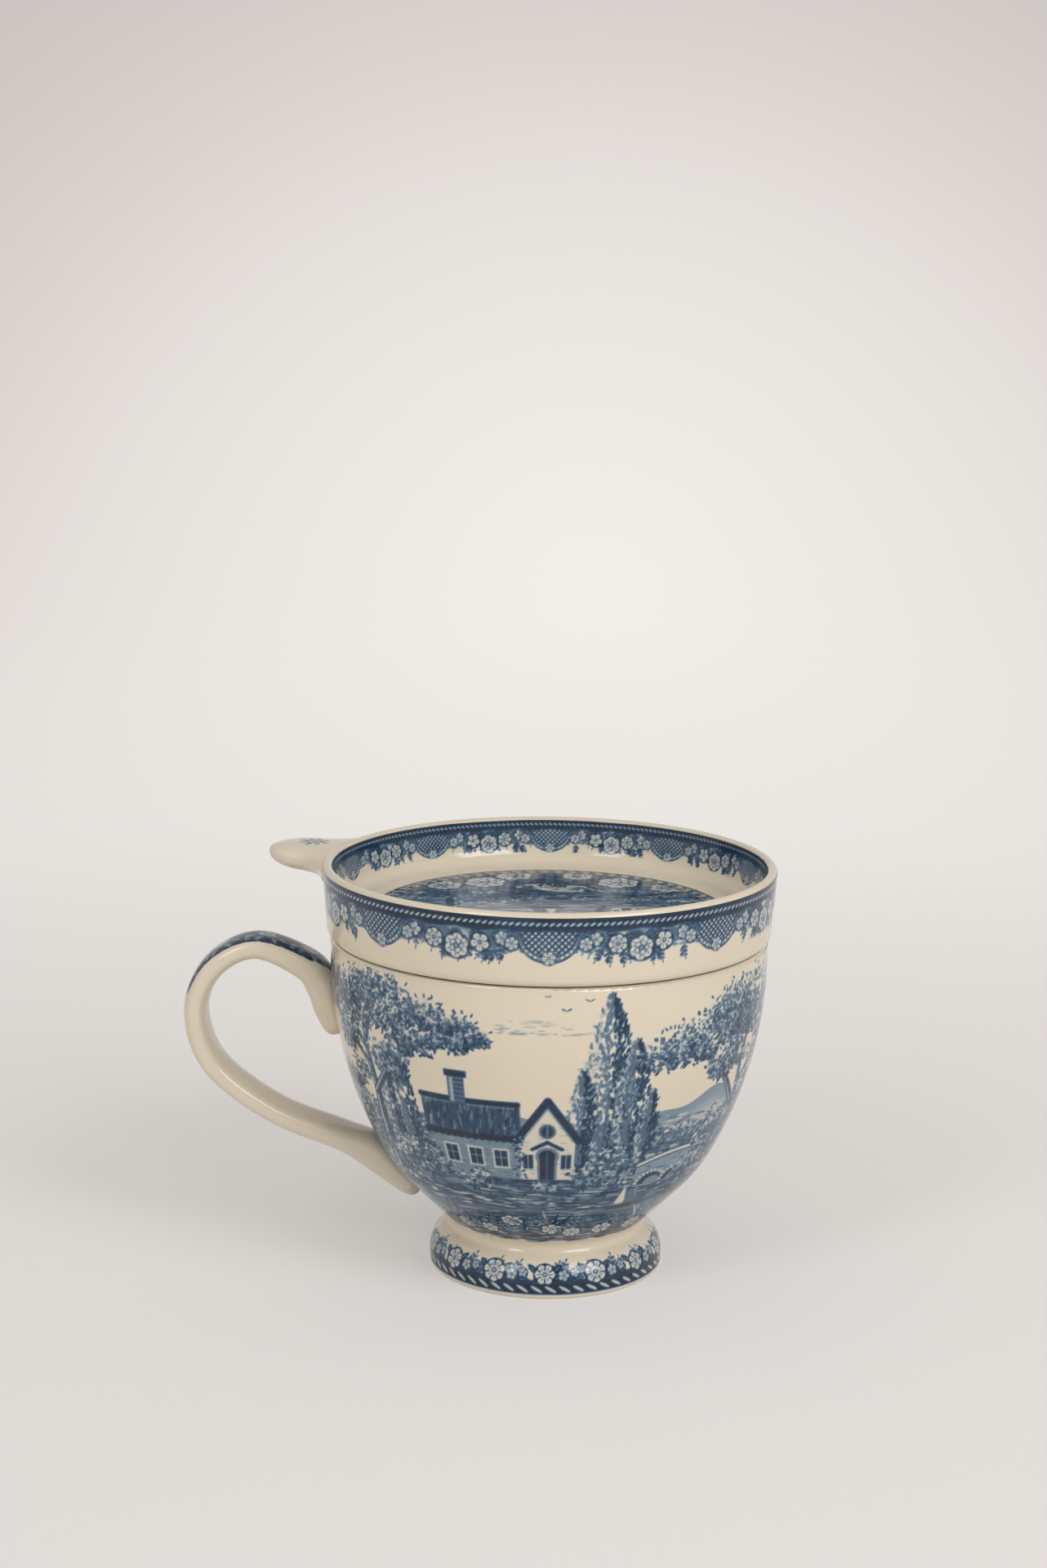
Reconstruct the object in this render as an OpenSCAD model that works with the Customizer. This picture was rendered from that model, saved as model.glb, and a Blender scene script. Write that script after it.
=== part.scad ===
// Lidded tea mug with infuser: footed mug, dish-shaped lift-off lid and hanging steel basket.
// Millimetres. +Z is up, the origin is on the mug's axis at the plane the foot stands on.
// The handle and the lid's thumb tab point to -X.

/* [Mug] */
// Height of the mug's rim above the table
mug_height = 82; // [70:0.5:105]
// Outer diameter of the mug at its rim
rim_diameter = 104.2; // [88:0.2:126]
// Diameter of the pinched waist between bowl and foot
waist_diameter = 46.8; // [40:0.2:54]
// Height of the waist above the table
waist_height = 11.1; // [8:0.1:14]
// Radius at the bowl's shoulder as a share of the rim radius
shoulder_share = 0.762; // [0.74:0.002:0.79]
// Radius of the arc that turns the side into the belly
belly_radius = 33; // [29:0.5:37]
// Wall thickness of the bowl
bowl_wall = 3.2; // [2.6:0.1:4.2]
// Thickness of the bowl's floor
bowl_floor = 3.4; // [2.6:0.1:5]

/* [Foot] */
// Largest diameter of the foot
foot_diameter = 56.2; // [50:0.2:68]
// Width of the ring the foot stands on
foot_ring_width = 5.4; // [4:0.1:8]
// Depth of the hollow under the foot
foot_hollow_depth = 7.6; // [5:0.1:9]

/* [Handle] */
// How far the strap's middle line stands out from the rim
handle_reach = 32.8; // [28:0.2:40]
// Width of the strap
strap_width = 13; // [10:0.2:16]
// Thickness of the strap
strap_thickness = 5.7; // [4.6:0.1:7]

/* [Gallery inside the rim] */
// Depth of the ledge below the rim
ledge_depth = 5; // [4.5:0.1:7]
// Width of the ledge that carries the basket
ledge_width = 2.6; // [2:0.1:3.4]

/* [Lid] */
// Height of the lid above the mug's rim
lid_height = 17.3; // [14:0.1:22]
// How far the lid's lip stands out beyond the mug's rim
lip_overhang = 1.9; // [1.2:0.1:3]
// Thickness of the lid's wall at the lip
lip_thickness = 2.4; // [2:0.1:3.4]
// Depth of the dish inside the lid
dish_depth = 11.6; // [8:0.1:15]
// Thickness of the dish's floor
dish_floor = 3; // [2.4:0.1:4]
// Width of the locating ring under the lid
locating_ring_width = 3.2; // [2.4:0.1:4.5]

/* [Thumb tab] */
// Length of the tab beyond the lip
tab_length = 17.4; // [13:0.1:22]
// Width of the tab at its round end
tab_width = 18; // [14:0.2:22]
// Thickness of the tab where it leaves the lip
tab_thickness = 6.5; // [4.5:0.1:8]
// How far the lid is turned away from the handle, in degrees
lid_turn = 17; // [0:1:30]

/* [Infuser] */
// How far the basket's wall stands in from the ledge
basket_inset = 5.6; // [4:0.1:9]
// Gap between the basket's base and the bowl's side
base_side_gap = 3.2; // [2:0.1:8]
// Height of the basket's base above the bowl's floor
base_floor_gap = 12.5; // [6:0.5:20]
// Sheet thickness of the basket's wall and base
sheet = 0.5; // [0.4:0.05:0.8]
// Width of one tea slot in the wall
slot_width = 1.1; // [0.8:0.1:1.6]
// Height of one tea slot in the wall
slot_height = 4; // [3:0.1:5]
// Rows of tea slots up the wall
slot_rows = 6; // [5:1:8]
// Tea slots in one row of the wall
slots_around = 48; // [36:2:60]
// Diameter of one tea hole in the base
tea_hole = 2.2; // [1.6:0.1:3]
// Rings of tea holes in the base
base_hole_rings = 5; // [4:1:5]
// Thickness of the flange's web
web_thickness = 0.8; // [0.6:0.1:1.2]
// Width of one lifting ear
ear_width = 12; // [9:0.5:16]

/* [Clearances] */
// Gap round the flange and round the locating ring
lift_gap = 0.6; // [0.3:0.05:1]
// Gap between the locating ring and the flange's bead
ring_gap = 0.4; // [0.3:0.05:1]
// Gap between sheets that are spot welded together
weld_gap = 0.05; // [0.02:0.01:0.1]

/* [Hidden] */
$fn = 96;

glaze = [0.84, 0.79, 0.70];
glaze_foot = [0.45, 0.52, 0.60];
glaze_tab = [0.86, 0.80, 0.72];
steel = [0.72, 0.72, 0.74];
bare_steel = [0.62, 0.63, 0.66];

// The bowl's side runs smoothly through an upright band, the side arc, the belly arc, a
// straight cone and the hollow neck arc at the waist, which turns into the foot's bulge.
rim_r = rim_diameter / 2;
waist_r = waist_diameter / 2;
waist_z = waist_height;
upright_band = 5;
side_z = mug_height - upright_band;
shoulder_height_share = 0.287;
shoulder_z = waist_z + shoulder_height_share * (side_z - waist_z);
shoulder_r = shoulder_share * rim_r;
side_drop = rim_r - shoulder_r;
side_arc_r = (pow(side_z - shoulder_z, 2) + pow(side_drop, 2)) / (2 * side_drop);
side_x = rim_r - side_arc_r;
inward = [side_x - shoulder_r, side_z - shoulder_z] / side_arc_r;
belly_x = shoulder_r + belly_radius * inward[0];
belly_z = shoulder_z + belly_radius * inward[1];
neck_arc_r = 1.8;
neck_x = waist_r + neck_arc_r;
neck_to_belly = [neck_x - belly_x, belly_z - waist_z];
belly_lean = atan2(neck_to_belly[1], neck_to_belly[0]);
cone_lean = belly_lean - acos((belly_radius + neck_arc_r) / norm(neck_to_belly));
cone_out = [cos(cone_lean), -sin(cone_lean)];
cone_top = [belly_x, belly_z] + belly_radius * cone_out;
cone_foot = [neck_x, waist_z] - neck_arc_r * cone_out;
floor_z = waist_z + bowl_floor;
// Arcs that would only touch are made to cross by this much, so that they meet in a clean edge.
cross = 0.01;

// Height rounded to a micron, so that stacked bands share one exact plane.
function level(z) = round(1000 * z) / 1000;

// Outer radius of the bowl at height z, above the neck arc.
function bowl_r(z) =
    z > side_z ? rim_r :
    z > shoulder_z ? side_x + sqrt(pow(side_arc_r, 2) - pow(side_z - z, 2)) :
    z > cone_top[1] ? belly_x + sqrt(pow(belly_radius, 2) - pow(belly_z - z, 2)) :
    cone_top[0] - (cone_top[1] - z) * tan(cone_lean);

// The gallery is turned a little into the wall; the ledge runs out into the wall below it.
ledge_z = mug_height - ledge_depth;
gallery_cut = 0.1;
gallery_r = rim_r - bowl_wall + gallery_cut;
ledge_r = gallery_r - ledge_width;
ledge_lip = 1.6;
ledge_run_out = 6.5;
ledge_bite = 0.4;
rim_round = 0.9;

foot_r = foot_diameter / 2;
bulge_height_share = 0.3;
foot_bulge_z = level(bulge_height_share * waist_z);
neck_offset = neck_x - foot_r;
neck_rise = waist_z - foot_bulge_z;
foot_arc_r = (pow(neck_offset, 2) + pow(neck_rise, 2) - pow(neck_arc_r, 2)) / (2 * (neck_arc_r - neck_offset));
foot_x = foot_r - foot_arc_r;
foot_to_neck = [neck_x - foot_x, neck_rise] / (foot_arc_r + neck_arc_r);
foot_join = [foot_x + foot_arc_r * foot_to_neck[0], level(foot_bulge_z + foot_arc_r * foot_to_neck[1])];
foot_edge = 0.9;
hollow_r = foot_r - foot_ring_width;
hollow_round = 3;

lid_top_z = mug_height + lid_height;
lip_r = rim_r + lip_overhang;
lip_round = lip_thickness / 2;
lip_z = lid_top_z - lip_round;
lid_corner = 2.2;
lid_flare = 0.95;
lid_base_r = lip_r - lid_flare;
lid_corner_z = mug_height + lid_corner;
dish_z = lid_top_z - dish_depth;
dish_curve = 5;
dish_draft = 1;
dish_side_r = lip_r - lip_thickness - dish_draft;
dish_flat_r = dish_side_r - dish_curve;
under_z = dish_z - dish_floor;
ring_r = gallery_r - lift_gap;
ring_inner_r = ring_r - locating_ring_width;

bead_r = 0.8;
bead_inset = 0.1;
bead_x = ring_r - bead_inset - bead_r;
bead_top_z = ledge_z + 2 * bead_r;
ring_z = bead_top_z + ring_gap;
ring_round = 0.7;

sleeve_r = ledge_r - basket_inset;
sleeve_z = floor_z + base_floor_gap;
slant_share = 1.3;
least_taper = 2;
sleeve_base_r = min(bowl_r(sleeve_z) - slant_share * bowl_wall - base_side_gap, sleeve_r - least_taper);
band_height = 4;
band_z = ledge_z - band_height;
skirt_height = 3.4;
skirt_sheet = 0.6;
sleeve_slope = (sleeve_r - sleeve_base_r) / (band_z - sleeve_z);
base_skirt = 3;

// Outer radius of the basket's cone at height z.
function cone_r(z) = sleeve_base_r + sleeve_slope * (z - sleeve_z);

ear_sheet = 0.8;
ear_stand_in = 2.6;
ear_r = ring_inner_r - ear_stand_in;
ear_curl = 0.75;
ear_headroom = 0.8;
ear_top_z = under_z - ear_headroom;
ear_foot_length = 2.2;

// The strap's middle line: share of the reach out from the bowl, share of the bowl's
// height, share of the full width and share of the full thickness. It runs from the spur
// under the upper joint, over the loop and down to the tail on the belly.
strap_path = [
    [0.015, 0.638, 0.72, 0.9],
    [0.055, 0.732, 0.86, 1.2],
    [0.076, 0.805, 0.95, 1.37],
    [0.19, 0.879, 1, 1.22],
    [0.552, 0.942, 1, 1],
    [0.87, 0.866, 1, 1],
    [1.03, 0.712, 1, 1],
    [0.991, 0.529, 1, 1],
    [0.689, 0.371, 1, 1],
    [0.287, 0.276, 0.97, 1.1],
    [0.14, 0.227, 0.88, 1.4],
    [0.107, 0.151, 0.7, 1.1],
    [0.095, 0.075, 0.42, 0.75]
];
strap_spans = len(strap_path) - 1;
steps_per_span = 4;
strap_rings = strap_spans * steps_per_span;
section_points = 24;
section_square = 2.7;
nose = 0.55;
blunt_end = 0.06;
look_ahead = 0.02;

// One station of the strap in millimetres: x, z, half width and half thickness.
function strap_knot(i) =
    let (k = strap_path[min(max(i, 0), strap_spans)])
    let (z = waist_z + k[1] * (mug_height - waist_z))
    [-(bowl_r(z) + k[0] * handle_reach), z, k[2] * strap_width / 2, k[3] * strap_thickness / 2];

// Smooth curve through four neighbouring stations, u from 0 to 1 between b and c.
function smooth(a, b, c, d, u) =
    0.5 * (2 * b + (c - a) * u + (2 * a - 5 * b + 4 * c - d) * u * u
    + (3 * b - a - 3 * c + d) * u * u * u);

function strap_at(t) =
    let (i = min(floor(t), strap_spans - 1))
    smooth(strap_knot(i - 1), strap_knot(i), strap_knot(i + 1), strap_knot(i + 2), t - i);

// Share of the full section near an end that is rounded off over a length of nose spans.
function rounded_end(t, last) =
    let (e = min(min(t, last - t) / nose, 1))
    max(sqrt(1 - pow(1 - e, 2)), blunt_end);

// Point q of a rounded-square section with unit half sizes.
function section(q) =
    let (c = cos(q), s = sin(q))
    [sign(c) * pow(abs(c), 2 / section_square), sign(s) * pow(abs(s), 2 / section_square)];

// Closed solid through a list of rings that all have the same number of points.
module skin(rings) {
    n = len(rings[0]);
    m = len(rings);
    sides = [
        for (i = [0 : m - 2])
        for (j = [0 : n - 1])
        for (side = [0, 1])
        side == 0
        ? [i * n + j, (i + 1) * n + (j + 1) % n, i * n + (j + 1) % n]
        : [i * n + j, (i + 1) * n + j, (i + 1) * n + (j + 1) % n]
    ];
    first = [for (j = [1 : n - 2]) [0, j, j + 1]];
    last = [for (j = [1 : n - 2]) [(m - 1) * n, (m - 1) * n + j + 1, (m - 1) * n + j]];
    polyhedron(points = [for (ring = rings) each ring], faces = concat(sides, first, last));
}

// Part of a disc round [cx, cz] between two heights, filled back to the axis.
module arc_band(cx, cz, radius, low, high) {
    intersection() {
        union() {
            translate([cx, cz])
                circle(r = radius);
            if (cx > 0)
                translate([0, cz - radius])
                    square([cx, 2 * radius]);
        }
        translate([0, low])
            square([cx + radius + 1, high - low]);
    }
}

// Half outline of the bowl's filled body, moved inwards by inset and cut off at two heights.
module bowl_half(inset, low, high) {
    belly_overlap = 0.1 * belly_radius;
    split_shoulder = level(shoulder_z + inset * inward[1]);
    cone_end = cone_top - inset * cone_out;
    cone_start = [cone_end[0] - (cone_end[1] - low) * tan(cone_lean), low];
    belly_low = level(cone_end[1] - belly_overlap);
    intersection() {
        arc_band(belly_x, belly_z, belly_radius - inset + cross, belly_low, split_shoulder);
        arc_band(side_x, side_z, side_arc_r - inset, belly_low, split_shoulder);
    }
    arc_band(side_x, side_z, side_arc_r - inset, split_shoulder, side_z);
    polygon([[0, low], cone_start, cone_end, [0, cone_end[1]]]);
    translate([0, side_z])
        square([rim_r - inset, high - side_z]);
}

// What the hollow neck arc at the waist takes away.
module neck_waste() {
    translate([neck_x, waist_z])
        circle(r = neck_arc_r + cross, $fn = 48);
}

// The bowl's whole filled outside, from the waist up.
module bowl_outside() {
    difference() {
        union() {
            bowl_half(0, level(cone_foot[1]), mug_height);
            translate([0, waist_z])
                square([cone_foot[0], level(cone_foot[1]) - waist_z]);
        }
        neck_waste();
    }
}

// Square of side r with a quarter disc taken out: what a rounded corner removes.
module corner_waste(x, z, r, to_x, to_z) {
    translate([x, z])
        difference() {
            translate([to_x > 0 ? 0 : -r - 1, to_z > 0 ? 0 : -r - 1])
                square([r + 1, r + 1]);
            circle(r = r, $fn = 48);
        }
}

module mug_bowl() {
    color(glaze)
        rotate_extrude()
            difference() {
                union() {
                    difference() {
                        bowl_outside();
                        bowl_half(bowl_wall, floor_z, mug_height + 1);
                    }
                    polygon([
                        [ledge_r, ledge_z],
                        [ledge_r, ledge_z - ledge_lip],
                        [gallery_r + ledge_bite, ledge_z - ledge_run_out],
                        [rim_r - bowl_wall / 2, ledge_z - ledge_run_out],
                        [rim_r - bowl_wall / 2, ledge_z]
                    ]);
                }
                translate([0, ledge_z])
                    square([gallery_r, ledge_depth + 1]);
                corner_waste(rim_r - rim_round, mug_height - rim_round, rim_round, 1, 1);
            }
}

module pedestal_foot() {
    color(glaze_foot)
        rotate_extrude()
            difference() {
                union() {
                    difference() {
                        union() {
                            arc_band(foot_x, foot_bulge_z, foot_arc_r, foot_bulge_z, foot_join[1]);
                            polygon([[0, foot_join[1]], foot_join, [neck_x, waist_z], [0, waist_z]]);
                        }
                        neck_waste();
                    }
                    square([foot_r, foot_bulge_z]);
                }
                translate([0, -1])
                    square([hollow_r, foot_hollow_depth - hollow_round + 1]);
                square([hollow_r - hollow_round, foot_hollow_depth]);
                translate([hollow_r - hollow_round, foot_hollow_depth - hollow_round])
                    intersection() {
                        circle(r = hollow_round, $fn = 48);
                        square(hollow_round);
                    }
                corner_waste(foot_r - foot_edge, foot_edge, foot_edge, 1, -1);
            }
}

module handle() {
    rings = [
        for (k = [0 : strap_rings])
        let (t = k / steps_per_span)
        let (p = strap_at(t))
        let (step = strap_at(min(t + look_ahead, strap_spans)) - strap_at(max(t - look_ahead, 0)))
        let (run = [step[0], step[1]] / norm([step[0], step[1]]))
        let (share = rounded_end(t, strap_spans))
        let (half_thick = share * p[3])
        [
            for (j = [0 : section_points - 1])
            let (q = section(360 * j / section_points))
            [
                p[0] - run[1] * q[1] * half_thick,
                q[0] * p[2] * share,
                p[1] + run[0] * q[1] * half_thick
            ]
        ]
    ];
    color(glaze)
        difference() {
            skin(rings);
            rotate_extrude()
                bowl_outside();
        }
}

// Half outline of the lid's outside, filled to the axis, up to the middle of the lip.
module lid_half() {
    polygon([
        [0, mug_height],
        [lid_base_r - lid_corner, mug_height],
        [lid_base_r - lid_corner, lid_corner_z],
        [lid_base_r, lid_corner_z],
        [lip_r, lip_z],
        [0, lip_z]
    ]);
    translate([lid_base_r - lid_corner, lid_corner_z])
        circle(r = lid_corner, $fn = 64);
}

module lid_dish() {
    color(glaze)
        rotate_extrude() {
            difference() {
                lid_half();
                polygon([
                    [0, dish_z],
                    [dish_flat_r, dish_z],
                    [dish_flat_r, dish_z + dish_curve],
                    [dish_side_r, dish_z + dish_curve],
                    [lip_r - lip_thickness, lip_z],
                    [lip_r - lip_thickness, lid_top_z],
                    [0, lid_top_z]
                ]);
                translate([dish_flat_r, dish_z + dish_curve])
                    intersection() {
                        circle(r = dish_curve, $fn = 64);
                        translate([0, -dish_curve])
                            square(dish_curve);
                    }
                translate([0, mug_height - 1])
                    square([ring_inner_r, under_z - mug_height + 1]);
            }
            translate([lip_r - lip_round, lip_z])
                circle(r = lip_round, $fn = 48);
            difference() {
                translate([ring_inner_r, ring_z])
                    square([locating_ring_width, under_z - ring_z]);
                corner_waste(ring_r - ring_round, ring_z + ring_round, ring_round, 1, -1);
                corner_waste(ring_inner_r + ring_round, ring_z + ring_round, ring_round, -1, -1);
            }
        }
}

module thumb_tab() {
    tip_x = lip_r + tab_length;
    root_length = 4;
    root_x = lip_r - root_length;
    round_x = tip_x - tab_width / 2;
    flare = 0.72 * tab_width;
    flare_curve = 2.2;
    crown = 0.3;
    tip_thinning = 0.38 * tab_thickness;
    edge_curve = 0.3;
    tip_end = 0.0004;
    stations = 22;
    rings = [
        for (k = [0 : stations])
        let (x = root_x + (tip_x - root_x) * sin(90 * k / stations))
        let (along = (x - root_x) / (tip_x - root_x))
        let (beyond = max(x - round_x, 0) / (tab_width / 2))
        let (before = max(round_x - x, 0) / (round_x - root_x))
        let (end = max(1 - pow(beyond, 2), tip_end))
        let (half_wide = sqrt(end) * tab_width / 2 + flare * pow(before, flare_curve))
        let (top = lid_top_z + crown * (1 - pow(2 * along - 1, 2)))
        let (keel = lid_top_z - tab_thickness + tip_thinning * pow(along, 3))
        let (half_thick = pow(end, edge_curve) * (top - keel) / 2)
        [
            for (j = [0 : section_points - 1])
            let (q = section(360 * j / section_points))
            [-x, -q[0] * half_wide, (top + keel) / 2 + q[1] * half_thick]
        ]
    ];
    color(glaze_tab)
        difference() {
            rotate([0, 0, -lid_turn])
                skin(rings);
            rotate_extrude() {
                lid_half();
                translate([0, lip_z])
                    square([lip_r - lip_round, lip_round + 2 * crown + 1]);
                translate([lip_r - lip_round, lip_z])
                    circle(r = lip_round, $fn = 48);
            }
        }
}

module infuser_flange() {
    color(steel)
        rotate_extrude() {
            translate([sleeve_r - sheet, ledge_z])
                square([bead_x - sleeve_r + sheet, web_thickness]);
            translate([bead_x, ledge_z + bead_r])
                circle(r = bead_r, $fn = 48);
            translate([sleeve_r + weld_gap, ledge_z - skirt_height])
                square([skirt_sheet, skirt_height + web_thickness / 2]);
        }
}

module infuser_sleeve() {
    first_row = sleeve_z + base_skirt + slot_height;
    last_row = band_z - slot_height;
    row_step = (last_row - first_row) / (slot_rows - 1);
    around = 360 / slots_around;
    slot_cut = 4 + 4 * sheet;
    color(bare_steel)
        difference() {
            rotate_extrude()
                polygon([
                    [sleeve_base_r - sheet, sleeve_z],
                    [sleeve_base_r, sleeve_z],
                    [sleeve_r, band_z],
                    [sleeve_r, ledge_z],
                    [sleeve_r - sheet, ledge_z],
                    [sleeve_r - sheet, band_z]
                ]);
            for (row = [0 : slot_rows - 1])
                for (slot = [0 : slots_around - 1])
                    rotate([0, 0, (slot + (row % 2) / 2) * around])
                        translate([cone_r(first_row + row * row_step), 0, first_row + row * row_step])
                            cube([slot_cut, slot_width, slot_height], center = true);
        }
}

module infuser_base() {
    inner_r = sleeve_base_r - sheet - weld_gap;
    ring_step = (inner_r - sheet - tea_hole) / base_hole_rings;
    color(bare_steel)
        difference() {
            rotate_extrude()
                polygon([
                    [0, sleeve_z - sheet],
                    [sleeve_base_r, sleeve_z - sheet],
                    [sleeve_base_r, sleeve_z],
                    [inner_r, sleeve_z],
                    [inner_r + base_skirt * sleeve_slope, sleeve_z + base_skirt],
                    [inner_r - sheet + base_skirt * sleeve_slope, sleeve_z + base_skirt],
                    [inner_r - sheet, sleeve_z],
                    [0, sleeve_z]
                ]);
            translate([0, 0, sleeve_z - sheet / 2])
                cylinder(h = 3 * sheet, d = tea_hole, center = true, $fn = 24);
            for (ring = [1 : base_hole_rings])
                for (hole = [0 : 6 * ring - 1])
                    rotate([0, 0, 60 * hole / ring])
                        translate([ring * ring_step, 0, sleeve_z - sheet / 2])
                            cylinder(h = 3 * sheet, d = tea_hole, center = true, $fn = 24);
        }
}

// Bent ear spot welded on the flange's web, with a curled grip edge along its top.
module lifting_ear() {
    web_top = ledge_z + web_thickness;
    curl_z = ear_top_z - ear_curl;
    translate([-ear_width / 2, ear_r - ear_foot_length, web_top])
        cube([ear_width, ear_foot_length + ear_sheet, ear_sheet]);
    translate([-ear_width / 2, ear_r, web_top])
        cube([ear_width, ear_sheet, curl_z - web_top]);
    translate([-ear_width / 2, ear_r + ear_sheet / 2, curl_z])
        rotate([0, 90, 0])
            cylinder(h = ear_width, r = ear_curl, $fn = 32);
}

module infuser_ear_front() {
    color(steel)
        rotate([0, 0, 180])
            lifting_ear();
}

module infuser_ear_back() {
    color(steel)
        lifting_ear();
}

mug_bowl();
pedestal_foot();
handle();
lid_dish();
thumb_tab();
infuser_flange();
infuser_sleeve();
infuser_base();
infuser_ear_front();
infuser_ear_back();
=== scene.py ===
# Lidded tea mug with infuser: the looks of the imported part, in metres, built on the CAD frame.
# The pieces follow in the order the mug is put together: bowl, foot, handle, basket, lid, tab.

from types import SimpleNamespace

import bmesh
import bpy
import numpy as np
from mathutils import Matrix, Vector
from numpy import arange, clip, concatenate, cos, degrees, hypot, interp, linspace, maximum, minimum
from numpy import pi, radians, sin, sqrt, stack


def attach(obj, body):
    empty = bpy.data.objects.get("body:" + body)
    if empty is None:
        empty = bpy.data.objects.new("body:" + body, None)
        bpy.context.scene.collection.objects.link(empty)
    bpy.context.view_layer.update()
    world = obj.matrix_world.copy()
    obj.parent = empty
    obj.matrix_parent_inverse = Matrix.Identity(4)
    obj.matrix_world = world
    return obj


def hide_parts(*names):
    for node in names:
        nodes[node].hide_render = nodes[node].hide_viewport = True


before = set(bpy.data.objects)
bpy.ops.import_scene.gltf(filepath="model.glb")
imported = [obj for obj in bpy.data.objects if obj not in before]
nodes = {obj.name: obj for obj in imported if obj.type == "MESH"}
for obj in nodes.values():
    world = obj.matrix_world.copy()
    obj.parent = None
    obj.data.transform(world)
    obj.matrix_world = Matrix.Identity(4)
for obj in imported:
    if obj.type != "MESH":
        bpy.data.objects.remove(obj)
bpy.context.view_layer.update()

# ---- The view
# One camera, 0.69 m from the mug's foot and looking down a little, as a portrait lens sees it.
# Its places are in metres, its angles in radians and its focal length in pixels of the frame.

CAMERA_BACK, CAMERA_HEIGHT = 0.6425, 0.2413
CAMERA_TURN, CAMERA_DIP, CAMERA_ROLL = -0.0101, 0.1898, 0.0105
FOCAL_PIXELS, LONG_SIDE = 3384.1, 1920
FILM = 36.0

camera = bpy.data.objects.new("camera", bpy.data.cameras.new("camera"))
bpy.context.collection.objects.link(camera)
camera.matrix_world = (
    Matrix.Translation((0, -CAMERA_BACK, CAMERA_HEIGHT)) @ Matrix.Rotation(-CAMERA_TURN, 4, "Z")
    @ Matrix.Rotation(pi / 2 - CAMERA_DIP, 4, "X") @ Matrix.Rotation(CAMERA_ROLL, 4, "Z"))
camera.data.sensor_width = FILM
camera.data.lens = FILM * FOCAL_PIXELS / LONG_SIDE
camera.data.clip_start = 0.01
bpy.context.scene.camera = camera
bpy.context.scene.view_settings.view_transform = "Standard"

# ---- The table and the light
# A pale painted sweep that turns up far from the mug on every side, lit by two soft windows to
# the left and right of the viewer and by an even room light.


def linear(colour):
    """The linear colour of an sRGB hex value, with full alpha."""
    parts = np.array([int(colour[k:k + 2], 16) for k in (1, 3, 5)]) / 255
    parts = np.where(parts <= 0.04045, parts / 12.92, ((parts + 0.055) / 1.055) ** 2.4)
    return (*parts.tolist(), 1.0)


def add_node(tree, kind, sockets=None, stops=(), **settings):
    """Adds one node with its own settings, and with a value or a link for each socket named. A
    node given as a link stands for its first output in use. stops are a ramp's places, from 0
    to 1, and colours."""
    node = tree.nodes.new("ShaderNode" + kind)
    for name, value in settings.items():
        setattr(node, name, value)
    for name, value in (sockets or {}).items():
        if isinstance(value, bpy.types.Node):
            value = next(output for output in value.outputs if output.enabled)
        if isinstance(value, bpy.types.NodeSocket):
            tree.links.new(value, node.inputs[name])
        else:
            node.inputs[name].default_value = value
    for place, colour in stops:
        ramp = node.color_ramp.elements
        stop = ramp[0] if place == 0 else ramp[-1] if place == 1 else ramp.new(place)
        stop.color = linear(colour)
    return node


def new_material(name):
    """An empty node material, its tree and its Object coordinates."""
    made = bpy.data.materials.new(name)
    made.use_nodes = True
    made.node_tree.nodes.clear()
    return made, made.node_tree, add_node(made.node_tree, "TexCoord").outputs["Object"]


def grid_mesh(name, points, wrap=False, ink=None, uv=None):
    """A mesh of four-sided faces through a grid of points in mm, rows by columns. With wrap the
    last column joins the first. Faces point along column run times row run. uv holds a place
    for each row and column, and with wrap one more column for the seam."""
    rows, cols = points.shape[:2]

    def quads(index):
        """The four corners of each face between neighbouring rows and columns of an index grid."""
        corners = [index[:-1, :-1], index[:-1, 1:], index[1:, 1:], index[1:, :-1]]
        return stack(corners, -1).reshape(-1, 4)

    index = arange(rows * cols).reshape(rows, cols)
    faces = quads(concatenate([index, index[:, :1]], 1) if wrap else index)
    mesh = bpy.data.meshes.new(name)
    mesh.vertices.add(rows * cols)
    mesh.vertices.foreach_set("co", (points * 0.001).astype(np.float32).ravel())
    mesh.loops.add(faces.size)
    mesh.loops.foreach_set("vertex_index", faces.astype(np.int32).ravel())
    mesh.polygons.add(len(faces))
    mesh.polygons.foreach_set("loop_start", arange(0, faces.size, 4, dtype=np.int32))
    mesh.update(calc_edges=True)
    mesh.shade_smooth()
    if ink is not None:
        layer = mesh.attributes.new("ink", "FLOAT", "POINT")
        layer.data.foreach_set("value", ink.astype(np.float32).ravel())
    if uv is not None:
        corners = quads(arange(rows * (cols + wrap)).reshape(rows, cols + wrap))
        layer = mesh.uv_layers.new(name="OFBake")
        layer.uv.foreach_set("vector", uv.reshape(-1, 2)[corners.ravel()].astype(np.float32).ravel())
    made = bpy.data.objects.new(name, mesh)
    bpy.context.collection.objects.link(made)
    return made


def turned(line, turns):
    """The grid that a line of radii and heights sweeps, one column for each angle."""
    return stack([line[:, :1] * cos(turns), line[:, :1] * sin(turns), line[:, 1:] + 0 * turns], -1)


# Painted board, rolled matt: a faint cloudiness is all that breaks its even warm white. Away
# from the mug it turns into a plain backdrop of painted glow, palest in one soft painted pool of
# light at its foot.
FLOOR_WHITE, FLOOR_SHADE = "#f5f3f0", "#f1eeeb"
FLOOR_FLAT_R, FLOOR_BEND_R, FLOOR_WALL = 1100.0, 700.0, 900.0
BACKDROP = ((0, "#f2efea"), (0.18, "#efece8"), (0.50, "#e5e0dc"), (0.74, "#d8d1ce"), (1, "#c9c3c0"))

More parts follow.
